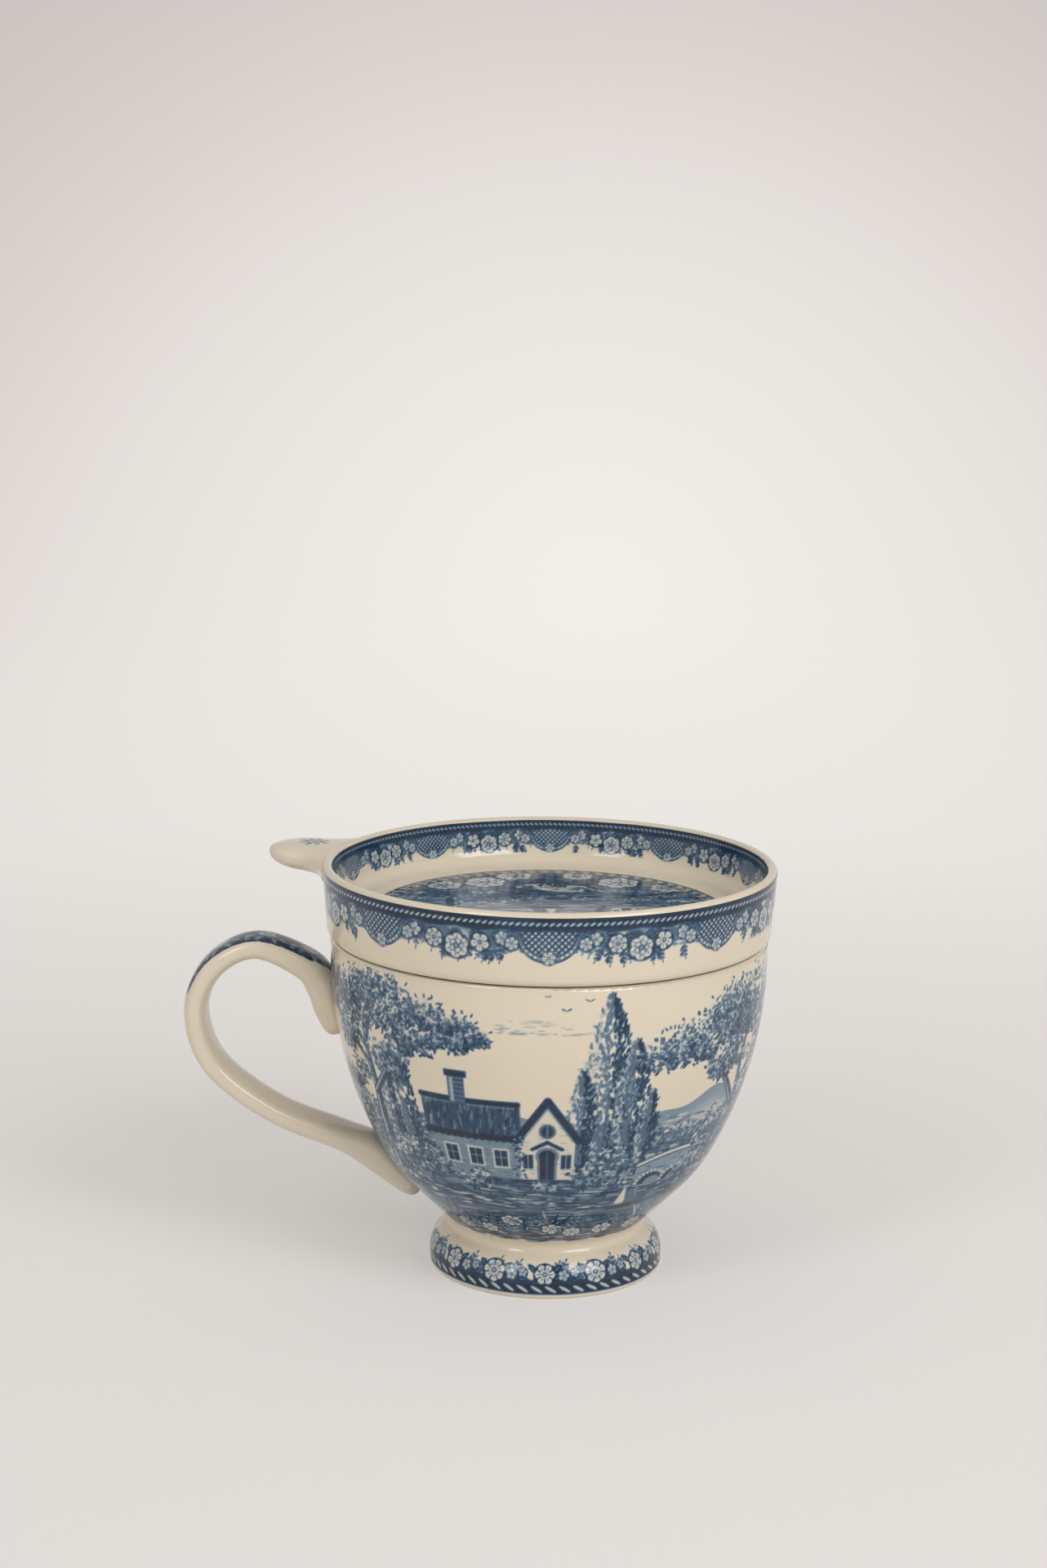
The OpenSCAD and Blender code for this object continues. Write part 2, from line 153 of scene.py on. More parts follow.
bend = linspace(0, pi / 2, 24)[1:]
sweep = concatenate([
    [[0.001, 0]], stack([linspace(60, FLOOR_FLAT_R, 24), np.zeros(24)], -1),
    stack([FLOOR_FLAT_R + FLOOR_BEND_R * sin(bend), FLOOR_BEND_R * (1 - cos(bend))], -1),
    [[FLOOR_FLAT_R + FLOOR_BEND_R, FLOOR_BEND_R + FLOOR_WALL]],
])
floor = grid_mesh("table_sweep", turned(sweep, linspace(0, 2 * pi, 97)[:-1])[::-1], True)
board, tree, where = new_material("matt painted board")
cloudy = add_node(tree, "TexNoise", {"Vector": where, "Scale": 2.5, "Detail": 3.0})
tint = add_node(tree, "Mix", {"Factor": cloudy, "A": linear(FLOOR_WHITE), "B": linear(FLOOR_SHADE)},
                data_type="RGBA")
paint = add_node(tree, "BsdfPrincipled", {"Base Color": tint, "Roughness": 0.85, "Specular IOR Level": 0.2})
# What the eye or a gloss sees of the board is part lit paint, part a painted glow of its own
# that softens the mug's shadow, and turns all to glow between 0.08 m and 0.55 m from the mug, so
# no edge shows. All other light sees only paint.
from_pool = add_node(tree, "VectorMath", {0: where, 1: (0.03, 1.3, 0.0)}, operation="SUBTRACT")
flatter = add_node(tree, "VectorMath", {0: from_pool, 1: (1.4, 0.4, 1.6)}, operation="MULTIPLY")
spread = add_node(tree, "VectorMath", {0: flatter}, operation="LENGTH")
# The glow's colour is painted light: palest in a pool at the backdrop's foot, 1.3 m behind the mug, and
# dimmer away from it.
painted_glow = add_node(tree, "ValToRGB", {"Fac": spread}, BACKDROP)
painted_glow.color_ramp.interpolation = "B_SPLINE"
backdrop = add_node(tree, "Emission", {"Color": painted_glow, "Strength": 1.0})
reach = add_node(tree, "VectorMath", {0: where}, operation="LENGTH")
away = add_node(tree, "MapRange", {"Value": reach, "From Min": 0.08, "From Max": 0.55, "To Min": 0.40},
                interpolation_type="SMOOTHSTEP")
seen = add_node(tree, "LightPath").outputs
direct = add_node(tree, "Math", {0: seen["Is Camera Ray"], 1: seen["Is Glossy Ray"]}, operation="MAXIMUM")
share = add_node(tree, "Math", {0: away, 1: direct}, operation="MULTIPLY")
both = add_node(tree, "MixShader", {0: share, 1: paint, 2: backdrop})
add_node(tree, "OutputMaterial", {"Surface": both})
floor.data.materials.append(board)
floor.visible_shadow = False

room = bpy.data.worlds.new("room light")
bpy.context.scene.world = room
room.use_nodes = True
room.node_tree.nodes.clear()
glow = add_node(room.node_tree, "Background", {"Color": linear("#f4f1ee"), "Strength": 0.50})
add_node(room.node_tree, "OutputWorld", {"Surface": glow})

# Each window is a soft rectangle, with its place and sides in metres, that faces the mug.
DAYLIGHT = "#fbfdff"
for name, place, sides, power in (("right window", (0.73, -0.81, 0.84), (0.66, 0.62), 7.9),
                                  ("left window", (-0.67, -0.86, 0.84), (0.31, 0.62), 3.6)):
    light = bpy.data.lights.new(name, "AREA")
    light.shape = "RECTANGLE"
    light.size, light.size_y = sides
    light.energy = power
    light.color = linear(DAYLIGHT)[:3]
    window = bpy.data.objects.new(name, light)
    window.location = place
    window.rotation_euler = (Vector((0, 0, 0.05)) - Vector(place)).to_track_quat("-Z", "Y").to_euler()
    bpy.context.collection.objects.link(window)

# ---- The bowl
# Jiggered cream earthenware, biscuit fired, printed from engraved copper through tissue in
# cobalt blue, then dipped in clear lead-free glaze. The CAD bowl carries the print as a skin.

GLAZE_CREAM, GLAZE_PALE = "#d8cbb5", "#ded2bd"
COBALT = ((0, "#a6b0b0"), (0.30, "#8395a1"), (0.55, "#586f83"), (0.80, "#274561"), (1, "#041c33"))


def earthenware(name, printed):
    """Cream earthenware under a clear glaze: smooth and wet-looking, with the faint long ripple
    that dipping leaves. With printed the piece's ink attribute lays cobalt blue under the glaze."""
    made, tree, where = new_material(name)
    # Slip pools in patches of about 15 mm, which shifts the cream a little.
    pool = add_node(tree, "TexNoise", {"Vector": where, "Scale": 65.0, "Detail": 3.0, "Roughness": 0.6})
    body = add_node(tree, "Mix", {"Factor": pool, "A": linear(GLAZE_CREAM), "B": linear(GLAZE_PALE)},
                    data_type="RGBA")
    if printed:
        ink = add_node(tree, "Attribute", attribute_name="ink").outputs["Fac"]
        # Tissue lays the colour down unevenly, in grains of about 0.6 mm and patches of 7 mm.
        grain = add_node(tree, "TexNoise", {"Vector": where, "Scale": 1600.0, "Detail": 2.0})
        patch = add_node(tree, "TexNoise", {"Vector": where, "Scale": 140.0, "Detail": 2.0})
        loss = add_node(tree, "Math", {0: grain, 1: 0.20, 2: 0.90}, operation="MULTIPLY_ADD")
        wash = add_node(tree, "Math", {0: patch, 1: 0.24, 2: 0.90}, operation="MULTIPLY_ADD")
        laid = add_node(tree, "Math", {0: ink, 1: loss}, operation="MULTIPLY")
        strength = add_node(tree, "Math", {0: laid, 1: wash}, operation="MULTIPLY", use_clamp=True)
        cobalt = add_node(tree, "ValToRGB", {"Fac": strength}, COBALT)
        cover = add_node(tree, "MapRange", {"Value": strength, "From Min": 0.02, "From Max": 0.34})
        body = add_node(tree, "Mix", {"Factor": cover, "A": body, "B": cobalt}, data_type="RGBA")
    # The dip runs off in ripples of about 12 mm, and fine pits 1 mm apart dull the gloss a touch.
    ripple = add_node(tree, "TexNoise", {"Vector": where, "Scale": 80.0, "Detail": 1.0})
    pits = add_node(tree, "TexNoise", {"Vector": where, "Scale": 900.0, "Detail": 1.0})
    height = add_node(tree, "Math", {0: pits, 1: 0.05, 2: ripple}, operation="MULTIPLY_ADD")
    relief = add_node(tree, "Bump", {"Height": height, "Strength": 0.25, "Distance": 0.0004})
    dull = add_node(tree, "MapRange", {"Value": pits, "To Min": 0.08, "To Max": 0.17})
    glaze = add_node(tree, "BsdfPrincipled", {"Base Color": body, "Roughness": dull, "Normal": relief,
                                              "IOR": 1.52})
    add_node(tree, "OutputMaterial", {"Surface": glaze})
    return made


plain_ware = earthenware("glazed cream earthenware", False)
printed_ware = earthenware("cobalt printed glazed earthenware", True)


def finish_node(name, material):
    """Gives a CAD node the real finish in place of its plain one."""
    nodes[name].data.materials.clear()
    nodes[name].data.materials.append(material)


finish_node("mug_bowl", plain_ware)


def blank_plate(width, height, cell, squeeze=None):
    """An empty printing plate in mm: a grid of ink from 0, bare, to 1, full. Its columns run on
    round the pot; squeeze is how far one mm of width shrinks on the pot at each height."""
    rows, cols = int(round(height / cell)) + 1, int(round(width / cell))
    squeeze = squeeze(arange(rows) * cell) if squeeze else np.ones(rows)
    return SimpleNamespace(ink=np.zeros((rows, cols)), dx=width / cols, dy=cell, squeeze=squeeze)


def shrink(plate, y):
    """How far one mm of plate width shrinks on the pot at height y."""
    return plate.squeeze[min(max(int(y / plate.dy), 0), len(plate.squeeze) - 1)]


def soft(plate, inside):
    """How far cells are covered that lie so many mm inside an edge one cell soft."""
    return clip(inside / plate.dy + 0.5, 0, 1)


def press(plate, x, y, reach, inside, ink):
    """Prints one mark round (x, y): inside gives how many mm a point lies within the mark."""
    rows, cols = plate.ink.shape
    low, high = max(int((y - reach) / plate.dy), 0), min(int((y + reach) / plate.dy) + 2, rows)
    if low >= high:
        return
    squeeze = shrink(plate, y)
    side = reach / squeeze
    across = arange(int(np.floor((x - side) / plate.dx)), int(np.ceil((x + side) / plate.dx)) + 1)
    down = arange(low, high)
    cover = inside((across * plate.dx - x)[None, :] * squeeze, (down * plate.dy - y)[:, None])
    window = np.ix_(down, across % cols)
    plate.ink[window] += (ink - plate.ink[window]) * soft(plate, cover)


def leaf(plate, x, y, turn, length, width, ink, blunt=1.0):
    """One leaf-shaped stroke from its foot at (x, y): its half width is that of a parabola along
    its length, or fuller where blunt is under 1. turn is in degrees from the right."""
    c, s, half = cos(radians(turn)), sin(radians(turn)), length / 2

    def inside(u, v):
        t = (u * c + v * s) / half
        return width / 2 * clip(1 - t * t, 0, 1) ** blunt - abs(v * c - u * s) - 9 * (abs(t) > 1)

    press(plate, x + half * c / shrink(plate, y), y + half * s, half + plate.dy, inside, ink)


def line(plate, x0, y0, x1, y1, width, ink, tip=None):
    """A straight stroke between two points, as wide as width at its start and tip at its end."""
    tip = width if tip is None else tip
    run = np.array([(x1 - x0) * shrink(plate, (y0 + y1) / 2), y1 - y0])
    length = max(hypot(*run), 1e-6)
    c, s = run / length

    def inside(u, v):
        far = u * c + v * s
        along = clip(far / length + 0.5, 0, 1)
        return (width + (tip - width) * along) / 2 - hypot(far - (along - 0.5) * length, v * c - u * s)

    press(plate, (x0 + x1) / 2, (y0 + y1) / 2, length / 2 + width, inside, ink)


def disc(plate, x, y, across, ink, high=None, hole=0.0):
    """A round mark, or an oval of two half axes, or a ring where hole is the share left open."""
    high = high or across

    def inside(u, v):
        r = hypot(u / across, v / high)
        return minimum(1 - r, r - hole if hole else 1 - r) * min(across, high)

    press(plate, x, y, max(across, high) + plate.dy, inside, ink)


def slab(plate, x0, y0, x1, y1, ink):
    """An upright block between two corners."""
    half, tall = (x1 - x0) / 2 * shrink(plate, (y0 + y1) / 2), (y1 - y0) / 2
    press(plate, (x0 + x1) / 2, (y0 + y1) / 2, max(half, tall) + 1,
          lambda u, v: minimum(half - abs(u), tall - abs(v)), ink)


def gable(plate, x, y, half, tall, ink):
    """A triangle that stands on its base, half its width to each side of x."""
    press(plate, x, y + tall / 2, max(half, tall) + 1, lambda u, v: minimum(
        (half * (0.5 - v / tall) - abs(u)) * tall / hypot(half, tall), v + tall / 2), ink)


def around(plate, x, y, reach, angle):
    """The plate point that lies reach mm from (x, y) at an angle in degrees."""
    return x + reach * cos(radians(angle)) / shrink(plate, y), y + reach * sin(radians(angle))


def flower(plate, x, y, size, petals, ink, heart, turn=0.0, vein=0.5):
    """An open flower: round petals set in a ring turned by so many radians, a vein on each and
    a dotted heart."""
    angles = [360 * k / petals + degrees(turn) for k in range(petals)]
    for a in angles:
        disc(plate, *around(plate, x, y, 0.56 * size, a), 0.4 * size, ink)
    for a in angles:
        b = a + 180 / petals
        leaf(plate, *around(plate, x, y, 0.3 * size, a), a, 0.5 * size, 0.12 * size, vein)
        leaf(plate, *around(plate, x, y, 0.35 * size, b), b, 0.55 * size, 0.14 * size, heart)
    disc(plate, x, y, 0.24 * size, heart)
    disc(plate, x, y, 0.11 * size, ink)


def spray(plate, x, y, turn, length, count, size, ink, curl=0.0, vein=None):
    """A stem that bends by curl degrees, with pairs of leaves that get smaller to its tip."""
    for k in range(count + 1):
        a, share = turn + curl * k / count, 1 - 0.55 * k / count
        nx, ny = around(plate, x, y, length / count, a)
        if k < count:
            line(plate, x, y, nx, ny, 0.34 * share, ink, 0.3 * share)
        for side in ((-1, 1) if k < count else (0,)):
            leaf(plate, x, y, a + 48 * side, size * share, 0.42 * size * share, ink, 0.8)
            if vein is not None:
                leaf(plate, x, y, a + 48 * side, 0.85 * size * share, 0.1 * size, vein)
        x, y = nx, ny


def crown(plate, rng, x, y, across, high, clumps, leaf_size, droop=-25, dark=0.97, airy=0.75):
    """A tree's leafy crown: clumps scattered in an oval, each over the last. Each is a mass of
    small leaf strokes, dark below, mid-blue in the middle and bare at its sunny top, with a few
    loose leaves round it."""
    for _ in range(clumps):
        a, r = rng.uniform(0, 2 * pi), sqrt(rng.uniform(0, 1))
        cx, cy = x + across * r * cos(a), y + high * r * sin(a)
        size = rng.uniform(0.16, 0.27) * min(across, 1.6 * high) + leaf_size
        sunny = 0.5 + 0.5 * clip((cy - y) / high - 0.5 * (cx - x) / across, -1, 1)
        for n, right, up, ink in ((36, 0.22, -0.28, dark - 0.12 * sunny), (32, 0, 0, 0.74 - 0.2 * sunny),
                                  (22, -0.22, 0.30, 0.30 - 0.26 * sunny)):
            for _ in range(int(n * airy)):
                b, q = rng.uniform(0, 2 * pi), sqrt(rng.uniform(0, 1))
                way = (droop if cos(b) > 0 else 180 - droop) + rng.normal(0, 24)
                lx, ly = cx + size * (1.25 * q * cos(b) + right), cy + size * (0.62 * q * sin(b) + up)
                leaf(plate, lx, ly, way, leaf_size * rng.uniform(0.7, 1.25), leaf_size * 0.42, ink, 0.8)
        for _ in range(5):
            b = rng.uniform(-0.35, pi + 0.35)
            leaf(plate, cx + 1.35 * size * cos(b), cy + 0.72 * size * sin(b), degrees(b) + rng.normal(0, 30),
                 leaf_size * 1.15, leaf_size * 0.42, 0.85, 0.8)


def trunk(plate, rng, points, width, ink=0.9):
    """A trunk or bough through a few points, tapering, with bark strokes and a bare lit edge."""
    n = len(points) - 1
    for k in range(n):
        w0, w1 = width * (1 - 0.75 * k / n), width * (1 - 0.75 * (k + 1) / n)
        (x0, y0), (x1, y1) = points[k], points[k + 1]
        line(plate, x0, y0, x1, y1, w0, ink, w1)
        line(plate, x0 - 0.25 * w0, y0, x1 - 0.25 * w1, y1, 0.28 * w0, 0.2, 0.2 * w1)
        for _ in range(int(3 * width)):
            t = rng.uniform(0, 1)
            x, y = x0 + (x1 - x0) * t, y0 + (y1 - y0) * t
            line(plate, x + rng.uniform(0, 0.3) * w0, y, x + rng.uniform(-0.1, 0.4) * w0, y + 0.8, 0.18, 0.45)


def strokes(plate, rng, x0, x1, y0, y1, count, length, width, inks):
    """Level engraved dashes scattered over a field, as on water, turf or cloud."""
    for _ in range(count):
        n = length * rng.uniform(0.5, 1.4)
        leaf(plate, rng.uniform(x0, x1) - n / 2, rng.uniform(y0, y1), rng.normal(0, 2.0), n,
             width * rng.uniform(0.7, 1.3), rng.choice(inks), 0.5)


def row_heights(plate):
    """The height of each row of the plate, as a column."""
    return (arange(plate.ink.shape[0]) * plate.dy)[:, None]


def ridge(plate, x0, x1, top, bottom, ink, fade, ease=9.0):
    """A far hill or bank: full ink along its top line, thinning to fade at its foot. top and
    bottom are heights or functions of x, and it runs out roundly within ease mm of its ends."""
    cols = arange(int(x0 / plate.dx), int(x1 / plate.dx) + 1)
    x, y = cols * plate.dx, row_heights(plate)
    low, high = (side(x) if callable(side) else side + 0 * x for side in (bottom, top))
    end = clip(minimum(x - x0, x1 - x) / ease, 0, 1) if ease else 1
    high = low + (high - low) * sqrt(end * (2 - end))
    cover = soft(plate, high - y) * soft(plate, y - low)
    tone = fade + (ink - fade) * clip((y - low) / maximum(high - low, 0.1), 0, 1) ** 1.5
    window = np.ix_(arange(plate.ink.shape[0]), cols % plate.ink.shape[1])
    plate.ink[window] += (tone - plate.ink[window]) * cover


def cottage(plate, x, y, s):
    """A stone cottage: a lit gable end with a porch, a shaded long wall, a thatched roof, a brick
    chimney and a creeper, each drawn in short strokes. Its plan has s mm to the unit."""
    rng = np.random.default_rng(3)

    def wall(u0, v0, u1, v1, ink):
        slab(plate, x + u0 * s, y + v0 * s, x + u1 * s, y + v1 * s, ink)

    def rule(u0, v0, u1, v1, width, ink):
        line(plate, x + u0 * s, y + v0 * s, x + u1 * s, y + v1 * s, width, ink)

    def spot(u, v, across, high, ink):
        disc(plate, x + u * s, y + v * s, across * s, ink, high * s)

    wall(-9, 0, 1, 5.2, 0.42)
    for _ in range(90):
        u, v = rng.uniform(-8.8, 0.2), rng.integers(0, 12) * 0.44
        rule(u, v, u + rng.uniform(0.4, 0.9), v, 0.2, rng.choice((0.66, 0.2)))
    wall(-9.6, 5, 1.2, 9.2, 0.8)
    for _ in range(150):
        u, v = rng.uniform(-9.4, 1.0), rng.uniform(5.2, 8.6)
        rule(u, v, u + 0.12, v + rng.uniform(0.5, 1.1), 0.22, rng.choice((0.97, 0.97, 0.55, 0.3)))
    rule(-9.6, 9.2, 1, 9.2, 0.55 * s, 0.97)
    rule(-9.5, 8.75, 0.6, 8.75, 0.2, 0.2)
    for k in range(14):
        spot(0.8 * k - 9.4, 5.1, 0.44, 0.42, 0.96)
    # The gable end, its courses of stone, its barge boards and round window.
    wall(1, 0, 7, 5.4, 0.06)
    gable(plate, x + 4 * s, y + 5.3 * s, 3.4 * s, 4.2 * s, 0.06)
    for _ in range(46):
        u, v = rng.uniform(1.2, 6.2), rng.integers(0, 17) * 0.44
        if abs(u - 3.8) < 3 - max(v - 5.2, 0) * 0.8:
            rule(u, v, u + rng.uniform(0.3, 0.7), v, 0.18, 0.42)
    for side in (-1, 1):
        rule(4 + 3.3 * side, 5, 4, 9.7, 0.8 * s, 0.93)
        rule(4 + 2.7 * side, 4.9, 4, 8.8, 0.2, 0.5)
    spot(4, 6.2, 0.85, 0.9, 0.55)
    spot(4, 6.2, 0.62, 0.68, 0.9)
    for side in (-1, 1):
        u = 4 + 2.1 * side
        rule(4, 6.2 + 0.6 * side, 4, 6.2, 0.2, 0.1)
        wall(u - 0.55, 1.5, u + 0.55, 3.3, 0.9)
        rule(u, 1.5, u, 3.3, 0.2, 0.1)
    # The arched door under its porch, and three windows in the long wall.
    spot(4, 3.1, 1.15, 1.15, 0.5)
    wall(2.9, 0, 5.1, 3.1, 0.5)
    wall(3.2, 0, 4.8, 3.1, 0.95)
    spot(4, 3.1, 0.8, 0.8, 0.95)
    rule(4, 0, 4, 3.6, 0.2, 0.45)
    for side in (-1, 1):
        rule(4 + 1.6 * side, 4, 4, 4.9, 0.4 * s, 0.9)
    for u in (-6.9, -4, -1.1):
        wall(u - 0.95, 1.35, u + 0.95, 3.85, 0.12)
        wall(u - 0.7, 1.6, u + 0.7, 3.6, 0.94)
        rule(u, 1.6, u, 3.6, 0.22, 0.2)
        rule(u - 0.7, 2.7, u + 0.7, 2.7, 0.22, 0.2)
    # The chimney and the creeper.
    wall(-6.2, 8.6, -4.4, 12, 0.75)
    for k in range(6):
        rule(-6.2, 9.1 + 0.5 * k, -4.5, 9.1 + 0.5 * k, 0.18, 0.35)
    wall(-6, 8.9, -5.6, 11.6, 0.25)
    wall(-6.5, 11.7, -4.1, 12.4, 0.95)
    for _ in range(90):
        t = rng.uniform(0, 1)
        leaf(plate, x + (1 + rng.normal(0, 0.45) * (1 - 0.5 * t)) * s, y + 5.6 * t * s, rng.uniform(0, 360),
             0.85, 0.42, rng.choice((0.95, 0.8, 0.25)), 0.8)


def bridge(plate, rng, x, y, span, arches, tall):
    """A low stone bridge: round arches with a ring of wedge stones under a humped parapet, and
    their shade in the water."""
    whole = span * arches + 3.0
    u = linspace(x - whole / 2, x + whole / 2, 60)
    deck = y + tall + 2.6 * (1 - (2 * (u - x) / whole) ** 2)
    for a, top in zip(u, deck):
        line(plate, a, y, a, top, 0.6, 0.34)
    for _ in range(int(whole * 1.7)):
        k = rng.integers(60)
        v = rng.uniform(y, deck[k] - 0.8)
        line(plate, u[k], v, u[k] + rng.uniform(0.8, 1.6), v, 0.22, 0.8)
    for k in range(59):
        for up, width, ink in ((0, 1.0, 0.1), (0.6, 0.35, 0.92), (-0.7, 0.3, 0.85)):
            line(plate, u[k], deck[k] + up, u[k + 1], deck[k + 1] + up, width, ink)
    r = 0.4 * span
    for k in range(arches):
        c = x + (k - (arches - 1) / 2) * span
        for size, ink in ((r + 0.9, 0.12), (r, 0.95)):
            press(plate, c, y, size + 1, lambda u, v: minimum(size - hypot(u, v), v), ink)
        press(plate, c + 0.8, y, r, lambda u, v: minimum(0.75 * r - hypot(u, v + 0.3), v), 0.42)
        for a in linspace(0, 180, 13):
            line(plate, *around(plate, c, y, r, a), *around(plate, c, y, r + 0.9, a), 0.22, 0.8)
        for drop in range(7):
            line(plate, c - r + 0.4 * drop, y - 0.9 - drop, c + r - 0.4 * drop, y - 0.9 - drop, 0.45, 0.85)


def boat(plate, x, y, s):
    """A small sailing boat with its sail lit from the left, and its reflection."""
    press(plate, x, y, 5 * s, lambda u, v: minimum(0.9 * s - abs(v), 3.6 * s + 0.8 * v - abs(u)), 0.95)
    line(plate, x + 0.3 * s, y, x + 0.3 * s, y + 8.4 * s, 0.35, 0.95)
    for at, foot, half, tall, ink in ((-1.2, 1.3, 1.7, 6.6, 0.5), (-1.3, 1.4, 1.2, 5.8, 0.04),
                                      (1.6, 1.3, 1.3, 5.2, 0.62)):
        gable(plate, x + at * s, y + foot * s, half * s, tall * s, ink)
    for k in range(6):
        drop = y - (1.2 + 0.55 * k) * s
        line(plate, x - 3 * s + 0.4 * k, drop, x + (3 - 0.5 * k) * s, drop, 0.28, 0.6)


def poplars(plate, rng, *places):
    """Slim upright poplars, lit from the left, each given by its foot and height."""
    for x, y, tall in places:
        line(plate, x, y - 2, x, y + 0.5 * tall, 0.9, 0.85, 0.4)
        for _ in range(int(0.42 * tall * tall + 6 * tall)):
            t, u = rng.uniform(0, 1), rng.uniform(-1, 1)
            half = 0.13 * tall * sin(pi * min(0.08 + 0.92 * t, 1)) ** 0.7
            ink = 0.2 if u < -0.45 and rng.uniform() < 0.6 else 0.6 if u < 0.1 else 0.92
            leaf(plate, x + u * half, y + t * tall, 90 + rng.normal(-14 * u, 18), 1.35, 0.48, ink, 0.8)


def reeds(plate, rng, x, y, count, tall, wide):
    """A stand of reeds: long blades from one foot, some lit."""
    for _ in range(count):
        leaf(plate, x + rng.uniform(-0.5, 0.5) * wide, y, 90 + rng.normal(0, 22), tall * rng.uniform(0.5, 1),
             0.62, 0.9 if rng.uniform() < 0.7 else 0.15, 0.7)


def shrubs(plate, rng, *places):
    """Low round bushes built like crowns, each given by its place and two half axes."""
    for x, y, across, high in places:
        crown(plate, rng, x, y, across, high, int(3 + across * high * 0.1), 1.05, dark=0.95, airy=1.0)


def bank(plate, rng, x0, x1, top, foot):
    """A near bank that slopes down to the waterline at both ends, ruled with dark and bare dashes,
    with tufts of grass."""
    def crest(x):
        """The bank's top: a smooth rise over 28 mm from each end, with a low ripple."""
        t = clip(minimum(x - x0, x1 - x) / 28, 0, 1)
        return foot + (top - foot) * t * t * (3 - 2 * t) + 0.6 * sin(x / 2.3) * t

    ridge(plate, x0, x1, crest, foot, 0.62, 0.9, 0)
    for _ in range(int(0.7 * (x1 - x0) * (top - foot))):
        x, n = rng.uniform(x0 + 2, x1 - 2), rng.uniform(1.8, 5.0)
        y = rng.uniform(foot, max(crest(x), foot + 0.5))
        leaf(plate, x - n / 2, y, rng.normal(0, 2), n, 0.42, rng.choice((0.95, 0.75, 0.12, 0.5)), 0.5)
    for _ in range(int((x1 - x0) * 0.5)):
        x = rng.uniform(x0 + 6, x1 - 6)
        y = foot + (crest(x) - foot) * rng.uniform(0.3, 1)
        for _ in range(2):
            u = rng.uniform(x - 1, x + 1)
            for k in range(4):
                v = y + rng.uniform(-0.3, 0.3)
                leaf(plate, u + 0.25 * k, v, 60 + 20 * k, rng.uniform(0.8, 1.6), 0.3, 0.85)


def grove(plate, rng, stems, crowns, leaf_size=1.5, droop=-25):
    """Trees of stems, each a width and its points, under crowns of place, half axes and clumps.
    Long grass grows round the first stem's foot."""
    for width, *points in stems:
        trunk(plate, rng, points, width)
    x, y = stems[0][1]
    reeds(plate, rng, x, y - 2.5, 34, 4.5, 9)
    for k in range(5):
        crown(plate, rng, x + 2.2 * (k - 2), y - 0.5, 1.6, 1.1, 2, 1.1)
    for x, y, across, high, clumps in crowns:
        crown(plate, rng, x, y, across, high, clumps, leaf_size, droop)


def birds(plate, x, y):
    """A few birds far off, each two bent strokes."""
    for dx, dy, q in ((0, 0, 1), (5, 2.2, 0.8), (8.5, -1.0, 0.7), (-4, 3.2, 0.65)):
        for side in (-1, 1):
            leaf(plate, x + dx, y + dy, 90 - 62 * side, 1.5 * q, 0.34 * q, 0.85)


def clouds(plate, rng, *places):
    """Light banks of cloud in thin level strokes, thicker towards the foot. Each is given by its
    centre, width and height."""
    for x, y, wide, tall in places:
        for _ in range(int(wide * 3.2)):
            t, v = rng.uniform(-1, 1, 2)
            if v < 1 - 1.7 * t * t:
                leaf(plate, x + t * wide / 2, y + v * tall / 2, rng.normal(0, 4), rng.uniform(1.2, 3.5), 0.3,
                     0.22 + 0.14 * (v < 0), 0.5)


def meadow(plate, rng, x0, x1, y, count, big):
    """Garden flowers, leaf sprays and reeds in a row, over a dark ground."""
    for k in range(count):
        x = x0 + (x1 - x0) * k / count + rng.uniform(-3, 3)
        if k % 3 == 0:
            reeds(plate, rng, x, y - 1, 16, 4.3 * big, 7)
        for right, down, swing, long, pairs, wide, ink, vein in (
                (4, 1, 45, 3, 5, 1.25, 0.93, 0.15), (-3, 2, 65, 2.7, 4, 1.2, 0.7, 0.1)):
            turn, curl = 90 + rng.uniform(-swing, swing), rng.uniform(-60, 60)
            spray(plate, x + right, y - down, turn, long * big, pairs, wide * big, ink, curl, vein)
        fx, fy, size = x + rng.uniform(-2, 2), y + 0.5 + rng.uniform(-2.2, 3.5), big * rng.uniform(0.66, 1)
        disc(plate, fx, fy, 1.15 * size, 0.9, 1.1 * size)
        flower(plate, fx, fy, size, 6 + k % 2, 0.03, 0.85, rng.uniform(0, 1))


